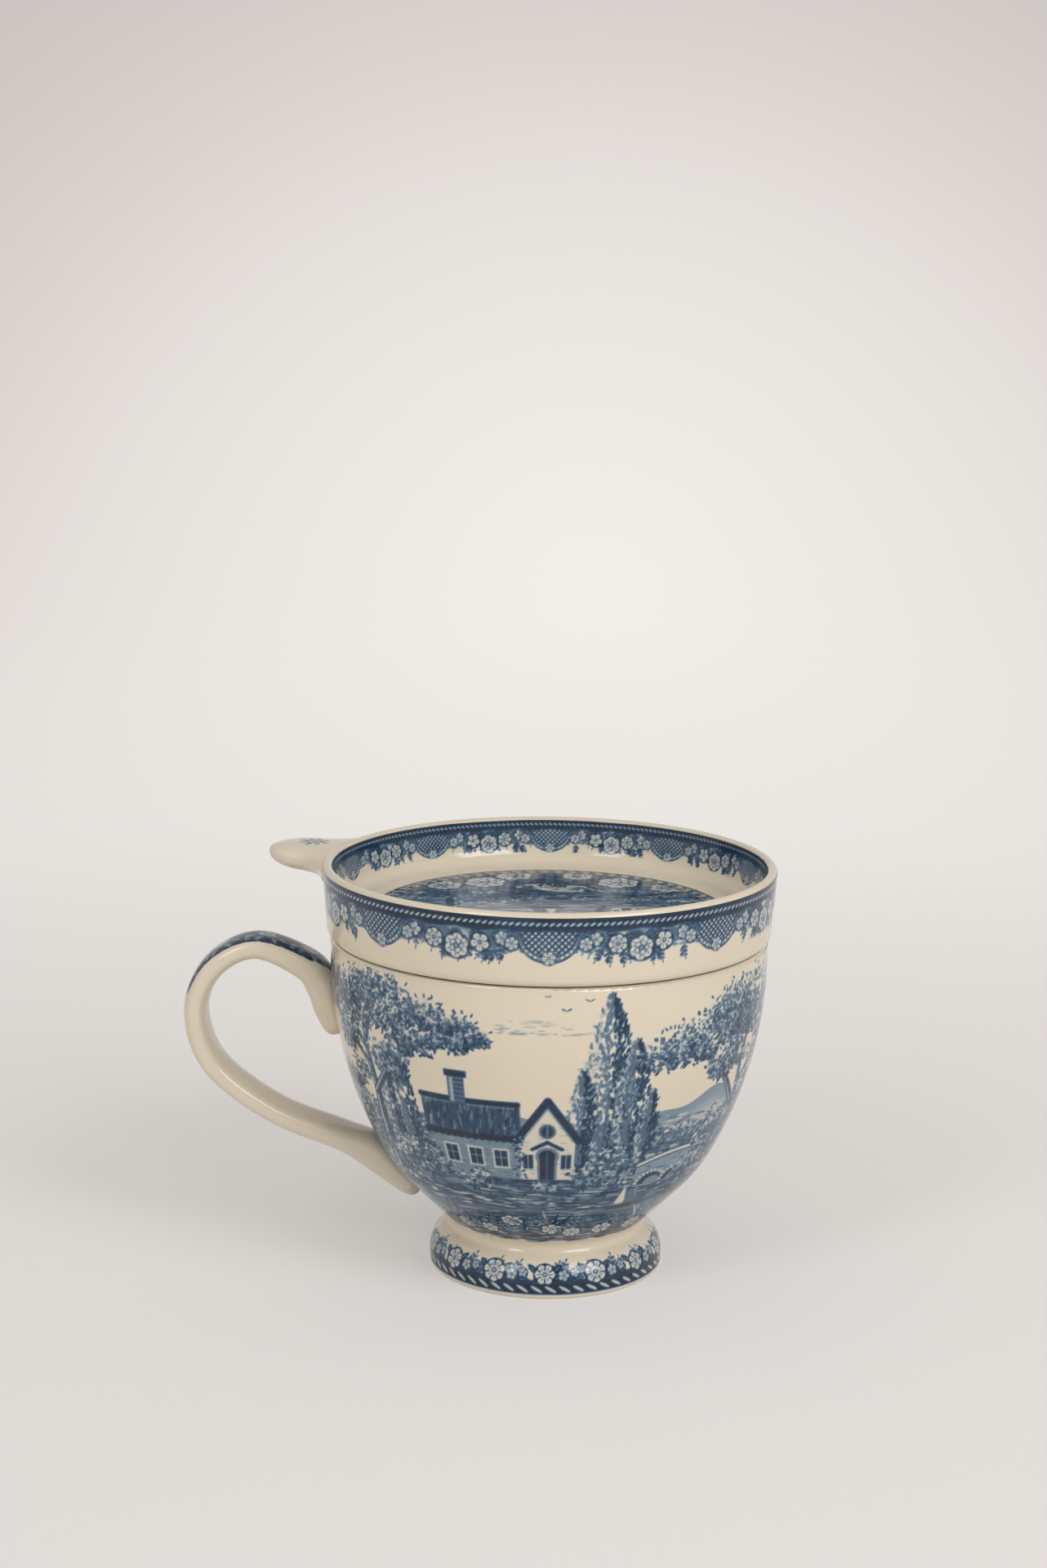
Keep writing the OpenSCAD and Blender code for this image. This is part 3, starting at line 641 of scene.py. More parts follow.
def landscape(plate, rng):
    """Both sides of the mug's picture, one after the other round the pot. x is 0 at the front
    and y is 0 at the waist."""
    clouds(plate, rng, (-4, 70, 26, 4), (14, 62, 20, 4), (84, 68, 16, 3), (150, 68, 34, 5), (-128, 64, 22, 4))
    birds(plate, 4, 74)
    birds(plate, 158, 72)
    for x0, x1 in ((-84, 84), (84, 240)):
        for high, low, ink, fade, long in ((47, 38, 0.42, 0.15, 9), (43, 36, 0.6, 0.3, 7)):
            ridge(plate, x0, x1, lambda x: high + 3 * sin(x / long + high) + 1.2 * sin(x / 3.3), low,
                  ink, fade, 16)
        strokes(plate, rng, x0 + 10, x1 - 10, 37, 46, 420, 3.0, 0.3, (0.55, 0.7, 0.1))
    # The water, ruled in level dashes that darken towards the viewer.
    ridge(plate, -157.1, 157.1, 36.5, 4, 0.22, 0.75, 0)
    strokes(plate, rng, -157, 157, 24, 37, 1300, 5.0, 0.30, (0.5, 0.7, 0.02))
    strokes(plate, rng, -157, 157, 5, 26, 2600, 5.5, 0.42, (0.9, 0.7, 0.25, 0.95))
    # Far banks with round trees.
    for x in arange(-152, 160, 6.5):
        crown(plate, rng, x + rng.uniform(-2, 2), 40 + rng.uniform(-1, 3), 4.2, 3.2, 5, 0.95, -25, 0.8, 0.7)
    strokes(plate, rng, -157, 157, 35.5, 38, 900, 3.2, 0.4, (0.9, 0.75, 0.5))
    # A large cottage among poplars, beside a stone bridge.
    poplars(plate, rng, (-37, 33, 30), (14, 33, 44), (20, 32, 34), (-42, 33, 22), (25, 32, 21), (8, 33, 26))
    bank(plate, rng, -50, 32, 33, 19)
    cottage(plate, -9, 30, 2.3)
    shrubs(plate, rng, (-34, 33, 6, 5), (10.5, 32, 4.5, 3.4), (-20, 28.5, 6, 2.2), (19, 34, 6, 5.5),
           (-42, 32, 7, 5), (1, 28, 3, 1.6))
    bridge(plate, rng, 40, 26, 8.6, 3, 6.6)
    boat(plate, 25, 18.5, 1.1)
    # Great trees frame the picture on both sides.
    bank(plate, rng, 40, 108, 33, 8)
    grove(plate, rng, ((4.0, (56, 26), (55, 36), (57, 46), (55, 56), (57, 66)),
                       (2.2, (56, 44), (48, 53), (40, 59), (33, 61)), (1.8, (56, 48), (64, 56), (70, 60))),
          ((57, 70, 14, 7, 24), (43, 66, 11, 6.5, 18), (32, 62, 8, 4.6, 12), (70, 64, 9, 7.5, 16),
           (49, 57, 7, 4, 9), (64, 53, 8, 5, 9), (84, 70, 9, 6, 12)), 1.1)
    shrubs(plate, rng, (50, 36, 8, 5), (62, 39, 10, 8), (76, 38, 9, 9), (70, 28, 10, 5), (44, 30, 6, 3.5))
    bank(plate, rng, -112, -34, 30, 6)
    grove(plate, rng, ((4.2, (-50, 24), (-48, 36), (-46.5, 48), (-48, 60), (-45, 70)),
                       (2.2, (-47, 48), (-39, 57), (-30, 63), (-23, 67)), (1.8, (-47, 54), (-56, 62))),
          ((-46, 71, 14, 6.5, 24), (-31, 68, 10, 6, 17), (-22, 68.5, 7.5, 3.8, 10), (-60, 65, 10, 7.5, 16),
           (-38, 57.5, 7, 3.8, 9), (-72, 70, 10, 6, 12), (-57, 52, 6, 4, 7)), 1.1, -40)
    shrubs(plate, rng, (-58, 34, 9, 7), (-44, 29, 7, 4.5), (-72, 36, 9, 9), (-64, 24, 10, 5), (-86, 33, 8, 7))
    # The other side: a lake with boats, a farm and two groves.
    boat(plate, 132, 26, 1.5)
    boat(plate, 147, 33, 0.8)
    poplars(plate, rng, (149, 35, 26), (154, 34, 34), (187, 33, 38), (193, 33, 28))
    bank(plate, rng, 142, 226, 34, 10)
    cottage(plate, 172, 31.5, 1.6)
    shrubs(plate, rng, (156, 33, 6, 4.5), (187, 33, 5, 3.5), (164, 29, 5, 2.4), (196, 33, 8, 6),
           (178, 27, 7, 3))
    bank(plate, rng, 82, 128, 31, 9)
    grove(plate, rng, ((4.0, (104, 25), (105, 36), (102, 48), (105, 60), (103, 68)),
                       (2.0, (103, 46), (112, 56), (120, 60))),
          ((103, 71, 13, 6.5, 22), (117, 65, 9, 6, 14), (91, 63, 8, 6, 12), (112, 55, 7, 4, 8)), 1.1)
    grove(plate, rng, ((3.8, (210, 26), (209, 38), (211, 50), (209, 62)),
                       (1.8, (210, 46), (202, 56), (196, 60))),
          ((210, 69, 12, 7, 20), (198, 63, 8, 5, 11), (222, 62, 9, 6.5, 13), (214, 54, 6, 4, 7)), 1.1)
    shrubs(plate, rng, (96, 32, 7, 5), (112, 30, 7, 4), (206, 34, 8, 5), (220, 35, 8, 8), (232, 30, 9, 6))
    # The foreground: dark turf with large flowers round the foot of the bowl.
    ridge(plate, -157.1, 157.1, lambda x: 10 + 2.2 * sin(x / 12.5 + 0.6) + sin(x / 5 + 1),
          lambda x: 3.0 + 0.5 * sin(x / 2.5), 0.9, 0.97, 0)
    strokes(plate, rng, -157, 157, 2.5, 12, 1300, 3.0, 0.4, (0.95, 0.5, 0.12, 0.8))
    meadow(plate, rng, -157, 157, 9, 24, 2.8)


# The outside's sizes in mm, from the waist up: a hollow neck, a straight cone, the belly arc,
# the long side arc and an upright band under the rim.
RIM_R, RIM_Z, RIM_ROUND = 52.1, 82.0, 0.9
WAIST_R, WAIST_Z = 23.4, 11.1
UPRIGHT_Z = 77.0
SHOULDER_R = 0.762 * RIM_R
SHOULDER_Z = WAIST_Z + 0.287 * (UPRIGHT_Z - WAIST_Z)
BELLY_ARC, NECK_ARC = 33.0, 1.8

side_arc = ((UPRIGHT_Z - SHOULDER_Z) ** 2 + (RIM_R - SHOULDER_R) ** 2) / (2 * (RIM_R - SHOULDER_R))
side_x = RIM_R - side_arc
belly_x = SHOULDER_R + BELLY_ARC * (side_x - SHOULDER_R) / side_arc
belly_z = SHOULDER_Z + BELLY_ARC * (UPRIGHT_Z - SHOULDER_Z) / side_arc
neck_x = WAIST_R + NECK_ARC
lean = np.arctan2(belly_z - WAIST_Z, neck_x - belly_x) - np.arccos(
    (BELLY_ARC + NECK_ARC) / hypot(neck_x - belly_x, belly_z - WAIST_Z))
cone_top_z = belly_z - BELLY_ARC * sin(lean)
cone_foot_z = WAIST_Z + NECK_ARC * sin(lean)


def bowl_radius(z):
    """The bowl's outer radius at heights z: each stretch is a circle's or a line's own equation."""
    cone = belly_x + BELLY_ARC * cos(lean) - (cone_top_z - z) * np.tan(lean)
    belly = belly_x + sqrt(maximum(BELLY_ARC ** 2 - (belly_z - z) ** 2, 0))
    side = side_x + sqrt(maximum(side_arc ** 2 - (UPRIGHT_Z - z) ** 2, 0))
    neck = neck_x - sqrt(maximum(NECK_ARC ** 2 - (z - WAIST_Z) ** 2, 0))
    above = [z > UPRIGHT_Z, z > SHOULDER_Z, z > cone_top_z, z > cone_foot_z]
    return np.select(above, [RIM_R, side, belly, cone], neck)


def run_of(line):
    """How far along a line of points each one lies."""
    return concatenate([[0], np.cumsum(hypot(*np.diff(line, axis=0).T))])


def evenly(line, cell):
    """The line's points spread evenly along it, about one cell apart."""
    run = run_of(line)
    even = linspace(0, run[-1], int(run[-1] / cell))
    return stack([interp(even, run, side) for side in line.T], -1)


def lifted(line, lift):
    """The line moved to its right-hand side, which is outwards where it runs up a pot."""
    slope = np.gradient(line, axis=0)
    slope /= np.linalg.norm(slope, axis=1)[:, None]
    return line + lift * stack([slope[:, 1], -slope[:, 0]], -1)


def ink_at(plate, x, y):
    """The plate's ink at any points, mixed from the four nearest cells; x runs on round the pot."""
    rows, cols = plate.ink.shape
    u, v = x / plate.dx, clip(y / plate.dy, 0, rows - 1.001)
    a, b = np.floor(u).astype(int), np.floor(v).astype(int)
    s, t, ink = u - a, v - b, plate.ink
    low, high = (ink[row, a % cols] * (1 - s) + ink[row, (a + 1) % cols] * s for row in (b, b + 1))
    return low * (1 - t) + high * t


def fix_clay(piece, material, body):
    """Gives a piece of the clay its finish and the body that it is part of."""
    piece.data.materials.append(material)
    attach(piece, body)


def print_skin(name, line, x, plate, sweep_r, body, lift, closed=True):
    """A skin that carries a plate's print on a turned face. x is each column's place on the
    plate, which is 0 at the front and turns anticlockwise at sweep_r mm to the radian. It lies
    lift mm off the face, and faces the axis where lift is less than 0."""
    y = run_of(line)
    points = turned(lifted(line, lift), x / sweep_r - pi / 2)
    ink = ink_at(plate, x[None, :] + 0 * y[:, None], y[:, None] + 0 * x[None, :])
    share = stack(np.meshgrid(*(linspace(0.002, 0.998, n) for n in (len(x) + closed, len(y)))), -1)
    if lift < 0:
        points, ink, share = points[::-1], ink[::-1], share[::-1]
    fix_clay(grid_mesh(name, points, closed, ink, share), printed_ware, body)


# The bowl's and foot's skins lie this far off the clay, which is more than the CAD mesh's facets
# stray from it.
PRINT_LIFT = 0.05
PLATE_CELL, SKIN_CELL = 0.25, 0.27
BOWL_SWEEP_R = 50.0

heights = concatenate([linspace(WAIST_Z, cone_foot_z, 40)[:-1],
                       linspace(cone_foot_z, RIM_Z - RIM_ROUND, 1500)])
bowl_line = stack([bowl_radius(heights), heights], -1)
bowl_run = run_of(bowl_line)
bowl_round = 2 * pi * BOWL_SWEEP_R
bowl_plate = blank_plate(bowl_round, bowl_run[-1], PLATE_CELL,
                         lambda y: interp(y, bowl_run, bowl_line[:, 0]) / BOWL_SWEEP_R)
landscape(bowl_plate, np.random.default_rng(7))
for name, start in (("front", -0.125), ("right", 0.125), ("back", 0.375), ("handle_side", 0.625)):
    quarter = linspace(start, start + 0.25, int(bowl_round / 4 / SKIN_CELL)) * bowl_round
    print_skin("bowl_print_" + name, evenly(bowl_line, SKIN_CELL), quarter, bowl_plate, BOWL_SWEEP_R, "mug",
               PRINT_LIFT, False)

# ---- The foot
# Turned in one with the bowl, with a printed strip round its bulge: a leafy edge over a band
# with a twisted rope. Its lower edge is left plain.


def rope_band(plate, edge, top, lobes, rope_y, core, pitch, length, width, turn=32):
    """An inked band up to top, scalloped along its lower edge, with a twisted rope on a darker
    core: slanting bare dashes in a row that closes on itself round the pot."""
    y, cols = row_heights(plate), plate.ink.shape[1]
    whole = plate.dx * cols
    count = int(round(whole / pitch))
    lower = edge - 0.5 * abs(sin(arange(cols) * pi * lobes / cols))
    plate.ink += (0.9 - plate.ink) * soft(plate, y - lower) * soft(plate, top - y)
    plate.ink += (0.98 - plate.ink) * soft(plate, core - abs(y - rope_y))
    foot = rope_y - 0.5 * length * sin(radians(turn))
    for k in range(count):
        leaf(plate, k * whole / count, foot, turn, length, width, 0.12, 0.45)


def foot_strip(plate, rng):
    """The foot's strip: a rope band along its lower edge, and over it bunches of open flowers and
    leaves of uneven height that reach up towards the waist."""
    whole, count = plate.dx * plate.ink.shape[1], 14
    y, x = row_heights(plate), arange(plate.ink.shape[1]) * plate.dx
    rope_band(plate, 0.35, 3.7, 2, 1.65, 1.0, 3.3, 3.2, 0.8, -30)
    plate.ink[:int(0.4 / plate.dy)] = 0

    def rise(x):
        """How full the bunches are, from 0 to 1: the size of a sine that peaks once a bunch."""
        return abs(sin(x * pi * count / whole + 0.8))

    plate.ink += (0.88 - plate.ink) * clip((3.9 + 2.6 * rise(x) ** 1.2 - y) / plate.dy, 0, 1) * (y > 3.4)
    for k in range(4 * count):
        a = (k + 0.5) * whole / count / 4
        size = 0.6 + 0.4 * rise(a)
        spray(plate, a, 3.9, 90 + rng.uniform(-35, 35), 4.6 * size, 4, 2.3 * size,
              (0.97, 0.75, 0.9, 0.6)[k % 4], rng.uniform(-40, 40), (0.2, None)[k % 2])
    for k in range(count):
        a = k * whole / count
        size = 2.5 + 0.3 * sin(2.1 * k)
        for side in (-1, 1):
            leaf(plate, a + 1.8 * side, 5.4, 90 - 48 * side, 3.2, 1.3, 0.95, 0.8)
            leaf(plate, a + 1.8 * side, 5.4, 90 - 48 * side, 2.7, 0.25, 0.2)
        disc(plate, a, 5.2, 1.1 * size, 0.95, 1.06 * size)
        flower(plate, a, 5.2, size, 6 + k % 2, 0.06, 0.85, 0.3 * k)
        for shift, up, small in ((0.36, 4.9, 1.35), (0.58, 5.5, 1.1)):
            disc(plate, a + shift * whole / count, up, 1.1 * small, 0.92)
            flower(plate, a + shift * whole / count, up, small, 5, 0.1, 0.85, 0.5 * k)


finish_node("pedestal_foot", plain_ware)
FOOT_R, FOOT_EDGE = 28.1, 0.9
FOOT_SWEEP_R = 28.0
FINE_PLATE_CELL, FOOT_CELL = 0.2, 0.25
bulge_z = round(0.3 * WAIST_Z, 3)
bulge_arc = (neck_x - FOOT_R) ** 2 + (WAIST_Z - bulge_z) ** 2 - NECK_ARC ** 2
bulge_arc /= 2 * (NECK_ARC - neck_x + FOOT_R)
bulge_x = FOOT_R - bulge_arc
to_neck = np.arctan2(WAIST_Z - bulge_z, neck_x - bulge_x)
a = linspace(0, to_neck, 60)
b = linspace(to_neck + pi, pi, 20)[1:]
foot_line = concatenate([
    [[FOOT_R, FOOT_EDGE]],
    stack([bulge_x + bulge_arc * cos(a), bulge_z + bulge_arc * sin(a)], -1),
    stack([neck_x + NECK_ARC * cos(b), WAIST_Z + NECK_ARC * sin(b)], -1),
])
foot_run = run_of(foot_line)
foot_round = 2 * pi * FOOT_SWEEP_R
foot_plate = blank_plate(foot_round, foot_run[-1], FINE_PLATE_CELL,
                         lambda y: interp(y, foot_run, foot_line[:, 0]) / FOOT_SWEEP_R)
foot_strip(foot_plate, np.random.default_rng(11))


def rounds(sweep_r, cell=0.3):
    """Columns that go once round the pot, about one cell apart at sweep_r."""
    return linspace(0, 2 * pi * sweep_r, int(2 * pi * sweep_r / cell), endpoint=False)


print_skin("foot_print", evenly(foot_line, FOOT_CELL), rounds(FOOT_SWEEP_R), foot_plate, FOOT_SWEEP_R,
           "mug", PRINT_LIFT)

# ---- The handle
# A pressed strap luted on with slip: a spur under the upper joint, one easy loop and a tail
# that dies into the belly. Its outer face is printed from the joint to the turn of the loop.

HANDLE_REACH, STRAP_WIDTH, STRAP_THICK = 32.8, 13.0, 5.7
# Share of the reach out from the bowl, share of its height, share of the width and thickness.
STRAP_PATH = np.array([
    (0.015, 0.638, 0.72, 0.9), (0.055, 0.732, 0.86, 1.2), (0.076, 0.805, 0.95, 1.37),
    (0.19, 0.879, 1, 1.22), (0.552, 0.942, 1, 1), (0.87, 0.866, 1, 1), (1.03, 0.712, 1, 1),
    (0.991, 0.529, 1, 1), (0.689, 0.371, 1, 1), (0.287, 0.276, 0.97, 1.1), (0.14, 0.227, 0.88, 1.4),
    (0.107, 0.151, 0.7, 1.1), (0.095, 0.075, 0.42, 0.75),
])
NOSE, BLUNT, SQUARE = 0.55, 0.06, 2.7
STRAP_POINTS, NOSE_RINGS, LOOP_RINGS = 132, 14, 260
AHEAD, STRAP_IN_WALL = 0.02, 1.0
# The printed stretch, counted in points of the path, and how far out the outer face begins.
RIBBON, OUTER_FACE = (2.3, 5.9), -0.72


def handle_strip(plate, stretch):
    """The handle's strip: a dark ribbon with pointed ends, a row of daisies and paired leaves."""
    x0, x1 = stretch
    middle = STRAP_WIDTH / 2
    x = arange(plate.ink.shape[1]) * plate.dx
    end = clip(minimum(x - x0, x1 - x) / 5.0, 0, 1)
    half = (5.1 + 0.5 * abs(sin(x * pi / 2.6))) * sqrt(end)
    plate.ink += 0.93 * soft(plate, half - abs(row_heights(plate) - middle)) * (end > 0)
    count = int((x1 - x0 - 8) / 7.5)
    for k in range(count):
        c = x0 + 6 + (x1 - x0 - 12) * k / (count - 1)
        for side in (-1, 1):
            disc(plate, c + 3.7, middle + 1.9 * side, 0.4, 0.2)
            disc(plate, c + 3.7, middle + 3.9 * side, 0.5, 0.3)
        flower(plate, c, middle, 2.1, 6, 0.14, 0.9, 0.4 * k)
        for way in (-36, -66, -114, -144, 36, 66, 114, 144):
            foot = around(plate, c, middle, 2.4, way)
            leaf(plate, *foot, way, 3.0, 1.0, 0.3, 0.8)
            leaf(plate, *foot, way, 2.4, 0.25, 0.8)


def close_ends(piece, count):
    """Closes the two ends of a tube of so many points round with faces that join each point to
    the one across its thickness, with a crisp edge, and turns all faces outwards."""
    form = bmesh.new()
    form.from_mesh(piece.data)
    points = list(form.verts)
    for ring in (points[:count], points[-count:]):
        for j in range(count // 2):
            form.faces.new(dict.fromkeys(ring[k % count] for k in (j, j + 1, -j - 1, -j)))
        for j in range(count):
            form.edges.get((ring[j - 1], ring[j])).smooth = False
    bmesh.ops.recalc_face_normals(form, faces=form.faces[:])
    form.to_mesh(piece.data)
    form.free()


def through(knots, t):
    """A smooth curve through knots: the Catmull-Rom cubic of the four knots round each t."""
    last = len(knots) - 1
    i = minimum(np.floor(t).astype(int), last - 1)
    u = (t - i)[:, None]
    a, b, c, d = (knots[clip(i + k, 0, last)] for k in (-1, 0, 1, 2))
    square, cube = 2 * a - 5 * b + 4 * c - d, 3 * b - a - 3 * c + d
    return 0.5 * (2 * b + (c - a) * u + square * u ** 2 + cube * u ** 3)


knot_z = WAIST_Z + STRAP_PATH[:, 1] * (RIM_Z - WAIST_Z)
knots = stack([-(bowl_radius(knot_z) + STRAP_PATH[:, 0] * HANDLE_REACH), knot_z,
               STRAP_PATH[:, 2] * STRAP_WIDTH / 2, STRAP_PATH[:, 3] * STRAP_THICK / 2], -1)
spans = len(knots) - 1
nose = NOSE * (1 - cos(linspace(0, pi / 2, NOSE_RINGS)[:-1]))
t = concatenate([nose, linspace(NOSE, spans - NOSE, LOOP_RINGS), spans - nose[::-1]])
p = through(knots, t)
ahead = through(knots, minimum(t + AHEAD, spans)) - through(knots, maximum(t - AHEAD, 0))
run = ahead[:, :2] / np.linalg.norm(ahead[:, :2], axis=1)[:, None]
share = maximum(sqrt(1 - (1 - minimum(minimum(t, spans - t) / NOSE, 1)) ** 2), BLUNT)
# The strap's rounded oblong, walked in even steps from one side: shares of half its width and
# half its thickness.
q = linspace(0, 2 * pi, 4001)
oblong = stack([np.sign(w) * abs(w) ** (2 / SQUARE) for w in (cos(q), sin(q))], -1)
walk = run_of(oblong * (STRAP_WIDTH, STRAP_THICK))
steps = linspace(0, walk[-1], STRAP_POINTS + 1)[:-1]
across, thick = (interp(steps, walk, side) for side in oblong.T)
half_thick = (share * p[:, 3])[:, None]
strap = stack([p[:, :1] - run[:, 1:] * thick * half_thick, across * (p[:, 2] * share)[:, None],
               p[:, 1:2] + run[:, :1] * thick * half_thick], -1)
# The ends stop inside the bowl's wall, so that no gap shows at the joints.
push = maximum((bowl_radius(strap[..., 2]) - STRAP_IN_WALL) / hypot(strap[..., 0], strap[..., 1]), 1)
strap[..., :2] *= push[..., None]
middle = run_of(p[:, :2])
strap_plate = blank_plate(middle[-1], STRAP_WIDTH, FINE_PLATE_CELL)
handle_strip(strap_plate, interp(RIBBON, t, middle))
ink = ink_at(strap_plate, middle[:, None] + 0 * across, STRAP_WIDTH / 2 + across * p[:, 2:3])
handle = grid_mesh("strap_handle", strap, True, ink * (thick < OUTER_FACE))
close_ends(handle, STRAP_POINTS)
fix_clay(handle, printed_ware, "mug")
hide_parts("handle")
finish_node("handle", plain_ware)

# ---- The infuser
# A basket of 0.5 mm stainless sheet: a slotted drawn sleeve with a drilled base welded in, a
# turned-over flange that hangs on the ledge, and two bent ears.

STEEL_DARK, STEEL_LIGHT = "#c4c3c1", "#d6d5d2"


def stainless(name, along, across, dull):
    """Polished stainless steel, which keeps the fine lines of its last brushing: noise drawn
    out along one way, of so many lines to the metre along x and y, and along z. The lines are
    coarser than real ones so that they show, and dull is the least roughness."""
    made, tree, where = new_material(name)
    drawn = add_node(tree, "Mapping", {"Vector": where, "Scale": (along, along, across)})
    lines = add_node(tree, "TexNoise", {"Vector": drawn, "Scale": 1.0, "Detail": 3.0})
    # Handling leaves faint smears about 20 mm wide.
    smear = add_node(tree, "TexNoise", {"Vector": where, "Scale": 50.0, "Detail": 2.0})
    both = add_node(tree, "Math", {0: lines, 1: 0.6, 2: smear}, operation="MULTIPLY_ADD")
    gloss = add_node(tree, "MapRange", {"Value": both, "From Min": 0.5, "From Max": 1.1, "To Min": dull,
                                        "To Max": dull + 0.12})
    tone = add_node(tree, "Mix", {"Factor": lines, "A": linear(STEEL_DARK), "B": linear(STEEL_LIGHT)},
                    data_type="RGBA")
    relief = add_node(tree, "Bump", {"Height": lines, "Strength": 0.12, "Distance": 0.0002})
    steel = add_node(tree, "BsdfPrincipled", {"Base Color": tone, "Metallic": 1.0, "Roughness": gloss,
                                              "Normal": relief})
    add_node(tree, "OutputMaterial", {"Surface": steel})
    return made


# The sleeve and flange were brushed as they turned, so their lines run round; the flat base and
# ears were brushed from a sheet, so theirs run across.
turned_steel = stainless("round brushed stainless steel", 60.0, 4000.0, 0.16)
sheet_steel = stainless("sheet stainless steel", 2500.0, 60.0, 0.2)
for name in ("infuser_flange", "infuser_sleeve"):
    finish_node(name, turned_steel)
for name in ("infuser_base", "infuser_ear_front", "infuser_ear_back"):
    finish_node(name, sheet_steel)

# ---- The lid
# A shallow dish with a rolled lip, jiggered from the same clay and printed outside and in. A
# ring under it drops into the mug's rim; it lies loose and lifts off by its tab.


def rose(plate, x, y, size):
    """A full garden rose: outer petals, a ring of closer ones and a curled heart, each edged
    in blue."""
    disc(plate, x, y, 1.12 * size, 0.88, 1.08 * size)
    for k in range(6):
        a = 60 * k + degrees(0.4)
        disc(plate, *around(plate, x, y, 0.55 * size, a), 0.46 * size, 0.6)
        disc(plate, *around(plate, x, y, 0.58 * size, a), 0.4 * size, 0.06)
        leaf(plate, *around(plate, x, y, 0.45 * size, a), a, 0.5 * size, 0.13 * size, 0.45)
    for k in range(5):
        disc(plate, *around(plate, x, y, 0.3 * size, 72 * k), 0.3 * size, 0.8)
        disc(plate, *around(plate, x, y, 0.34 * size, 72 * k), 0.22 * size, 0.12)
    disc(plate, x, y, 0.24 * size, 0.85, 0.22 * size)
    disc(plate, x, y, 0.13 * size, 0.2, 0.12 * size)


def bouquet(plate, rng, x, y, s, wide):
    """A hanging bunch of garden roses, small daisies and leaves, dark where it is densest."""
    for k in range(26):
        bx = x + rng.uniform(-0.56, 0.56) * wide
        turn = -90 + 80 * (bx - x) / wide + rng.normal(0, 16)
        spray(plate, bx, y + 3.6 * s, turn, rng.uniform(3.5, 6.0) * s, 4, 2.0 * s, (0.97, 0.8, 0.6)[k % 3],
              rng.uniform(-25, 25), (0.2, None, None)[k % 3])
    for _ in range(9):
        bx, by = x + rng.uniform(-0.5, 0.5) * wide, y - rng.uniform(2.2, 3.6) * s
        spray(plate, bx, by + 2.0 * s, rng.uniform(-45, 45) - 90, 3.0 * s, 3, 1.5 * s, 0.8)
        disc(plate, bx + rng.uniform(-1, 1) * s, by, 0.4 * s, 0.9)
    for k, share in enumerate((-0.42, 0.42, -0.22, 0.22)):
        fx, fy, size = x + share * wide, y + (2.1, 0.8)[k > 1] * s, (1.7, 2.3)[k > 1] * s
        disc(plate, fx, fy, 1.1 * size, 0.92, 1.08 * size)
        flower(plate, fx, fy, size, 5 + k % 3, 0.05, 0.85, 0.7 * k)
    rose(plate, x, y - 0.5 * s, 3.0 * s)


def trellis(plate, x, top, half, tall, s):
    """A swag of trellis: crossed lines with a bare dot in each opening, in a beaded edge."""
    mesh = 1.5 * s

    def swag(u, v, grow=0.0):
        """How far a point lies under the level top and over the half ellipse that hangs from it."""
        drop = sqrt(clip(1 - (u / (half + grow)) ** 2, 0, 1))
        return minimum(tall / 2 - v, v - tall / 2 + (tall + grow) * drop)

    def lattice(u, v, shift):
        """The root of two times how far a point lies from the nearest line of each slanting set."""
        return [abs((w / mesh + shift) % 1 - 0.5) * mesh for w in (u + v, u - v)]

    marks = [(lambda u, v, grow=grow: swag(u, v, grow * s), ink)
             for grow, ink in ((1.6, 0.93), (1.15, 0.05), (0.45, 0.9), (0, 0.35))]
    marks += [(lambda u, v: minimum(swag(u, v), 0.2 * s - 0.7 * minimum(*lattice(u, v, 0.5))), 0.97),
              (lambda u, v: minimum(swag(u, v), 0.3 * s - 0.7 * hypot(*lattice(u, v, 0.0))), 0.03)]
    for inside, ink in marks:
        press(plate, x, top - tall / 2, max(half, tall) + 2 * s, inside, ink)
    for a in linspace(-pi, 0, 19)[1:-1]:
        disc(plate, x + (half + 0.82 * s) * cos(a), top + (tall + 0.82 * s) * sin(a), 0.24 * s, 0.8)
    for side in (-1, 1):
        for swing, length in ((-12, 0.9), (22, 0.7)):
            spray(plate, x + side * (half + 1.4 * s), top - 0.3 * s, -90 + swing * side, length * tall, 5,
                  2.0 * s, 0.88, -30 * side, 0.2)
        disc(plate, x + side * (half + 2.0 * s), top - 0.55 * tall, 1.8 * s, 0.9)
        flower(plate, x + side * (half + 2.0 * s), top - 0.55 * tall, 1.6 * s, 6, 0.04, 0.85, 0.4)
    disc(plate, x, top - tall - 0.3 * s, 1.9 * s, 0.9, 1.8 * s)
    flower(plate, x, top - tall - 0.3 * s, 1.7 * s, 6, 0.04, 0.85, 0.2)


def border(plate, rng, top, s, repeats, rope_y, rope_pitch):
    """The printed border: a rope band from which bouquets and swags of trellis hang by turns."""
    band = top - 2.9 * s
    step = plate.dx * plate.ink.shape[1] / repeats
    strokes(plate, rng, 0, repeats * step, band - 5 * s, band, int(14 * repeats * step / s), 2.4 * s,
            0.24 * s, (0.35, 0.5))
    for k in range(repeats):
        bouquet(plate, rng, (k + 0.5) * step, band - 4.2 * s, s, step - 17 * s)
    for k in range(repeats):
        trellis(plate, k * step, band + 0.4 * s, 6.4 * s, 6.6 * s, s)
    rope_band(plate, band, top + 9, 4 * repeats, top - rope_y, 0.95 * s, rope_pitch, 1.02 * rope_pitch,
              0.36 * rope_pitch)


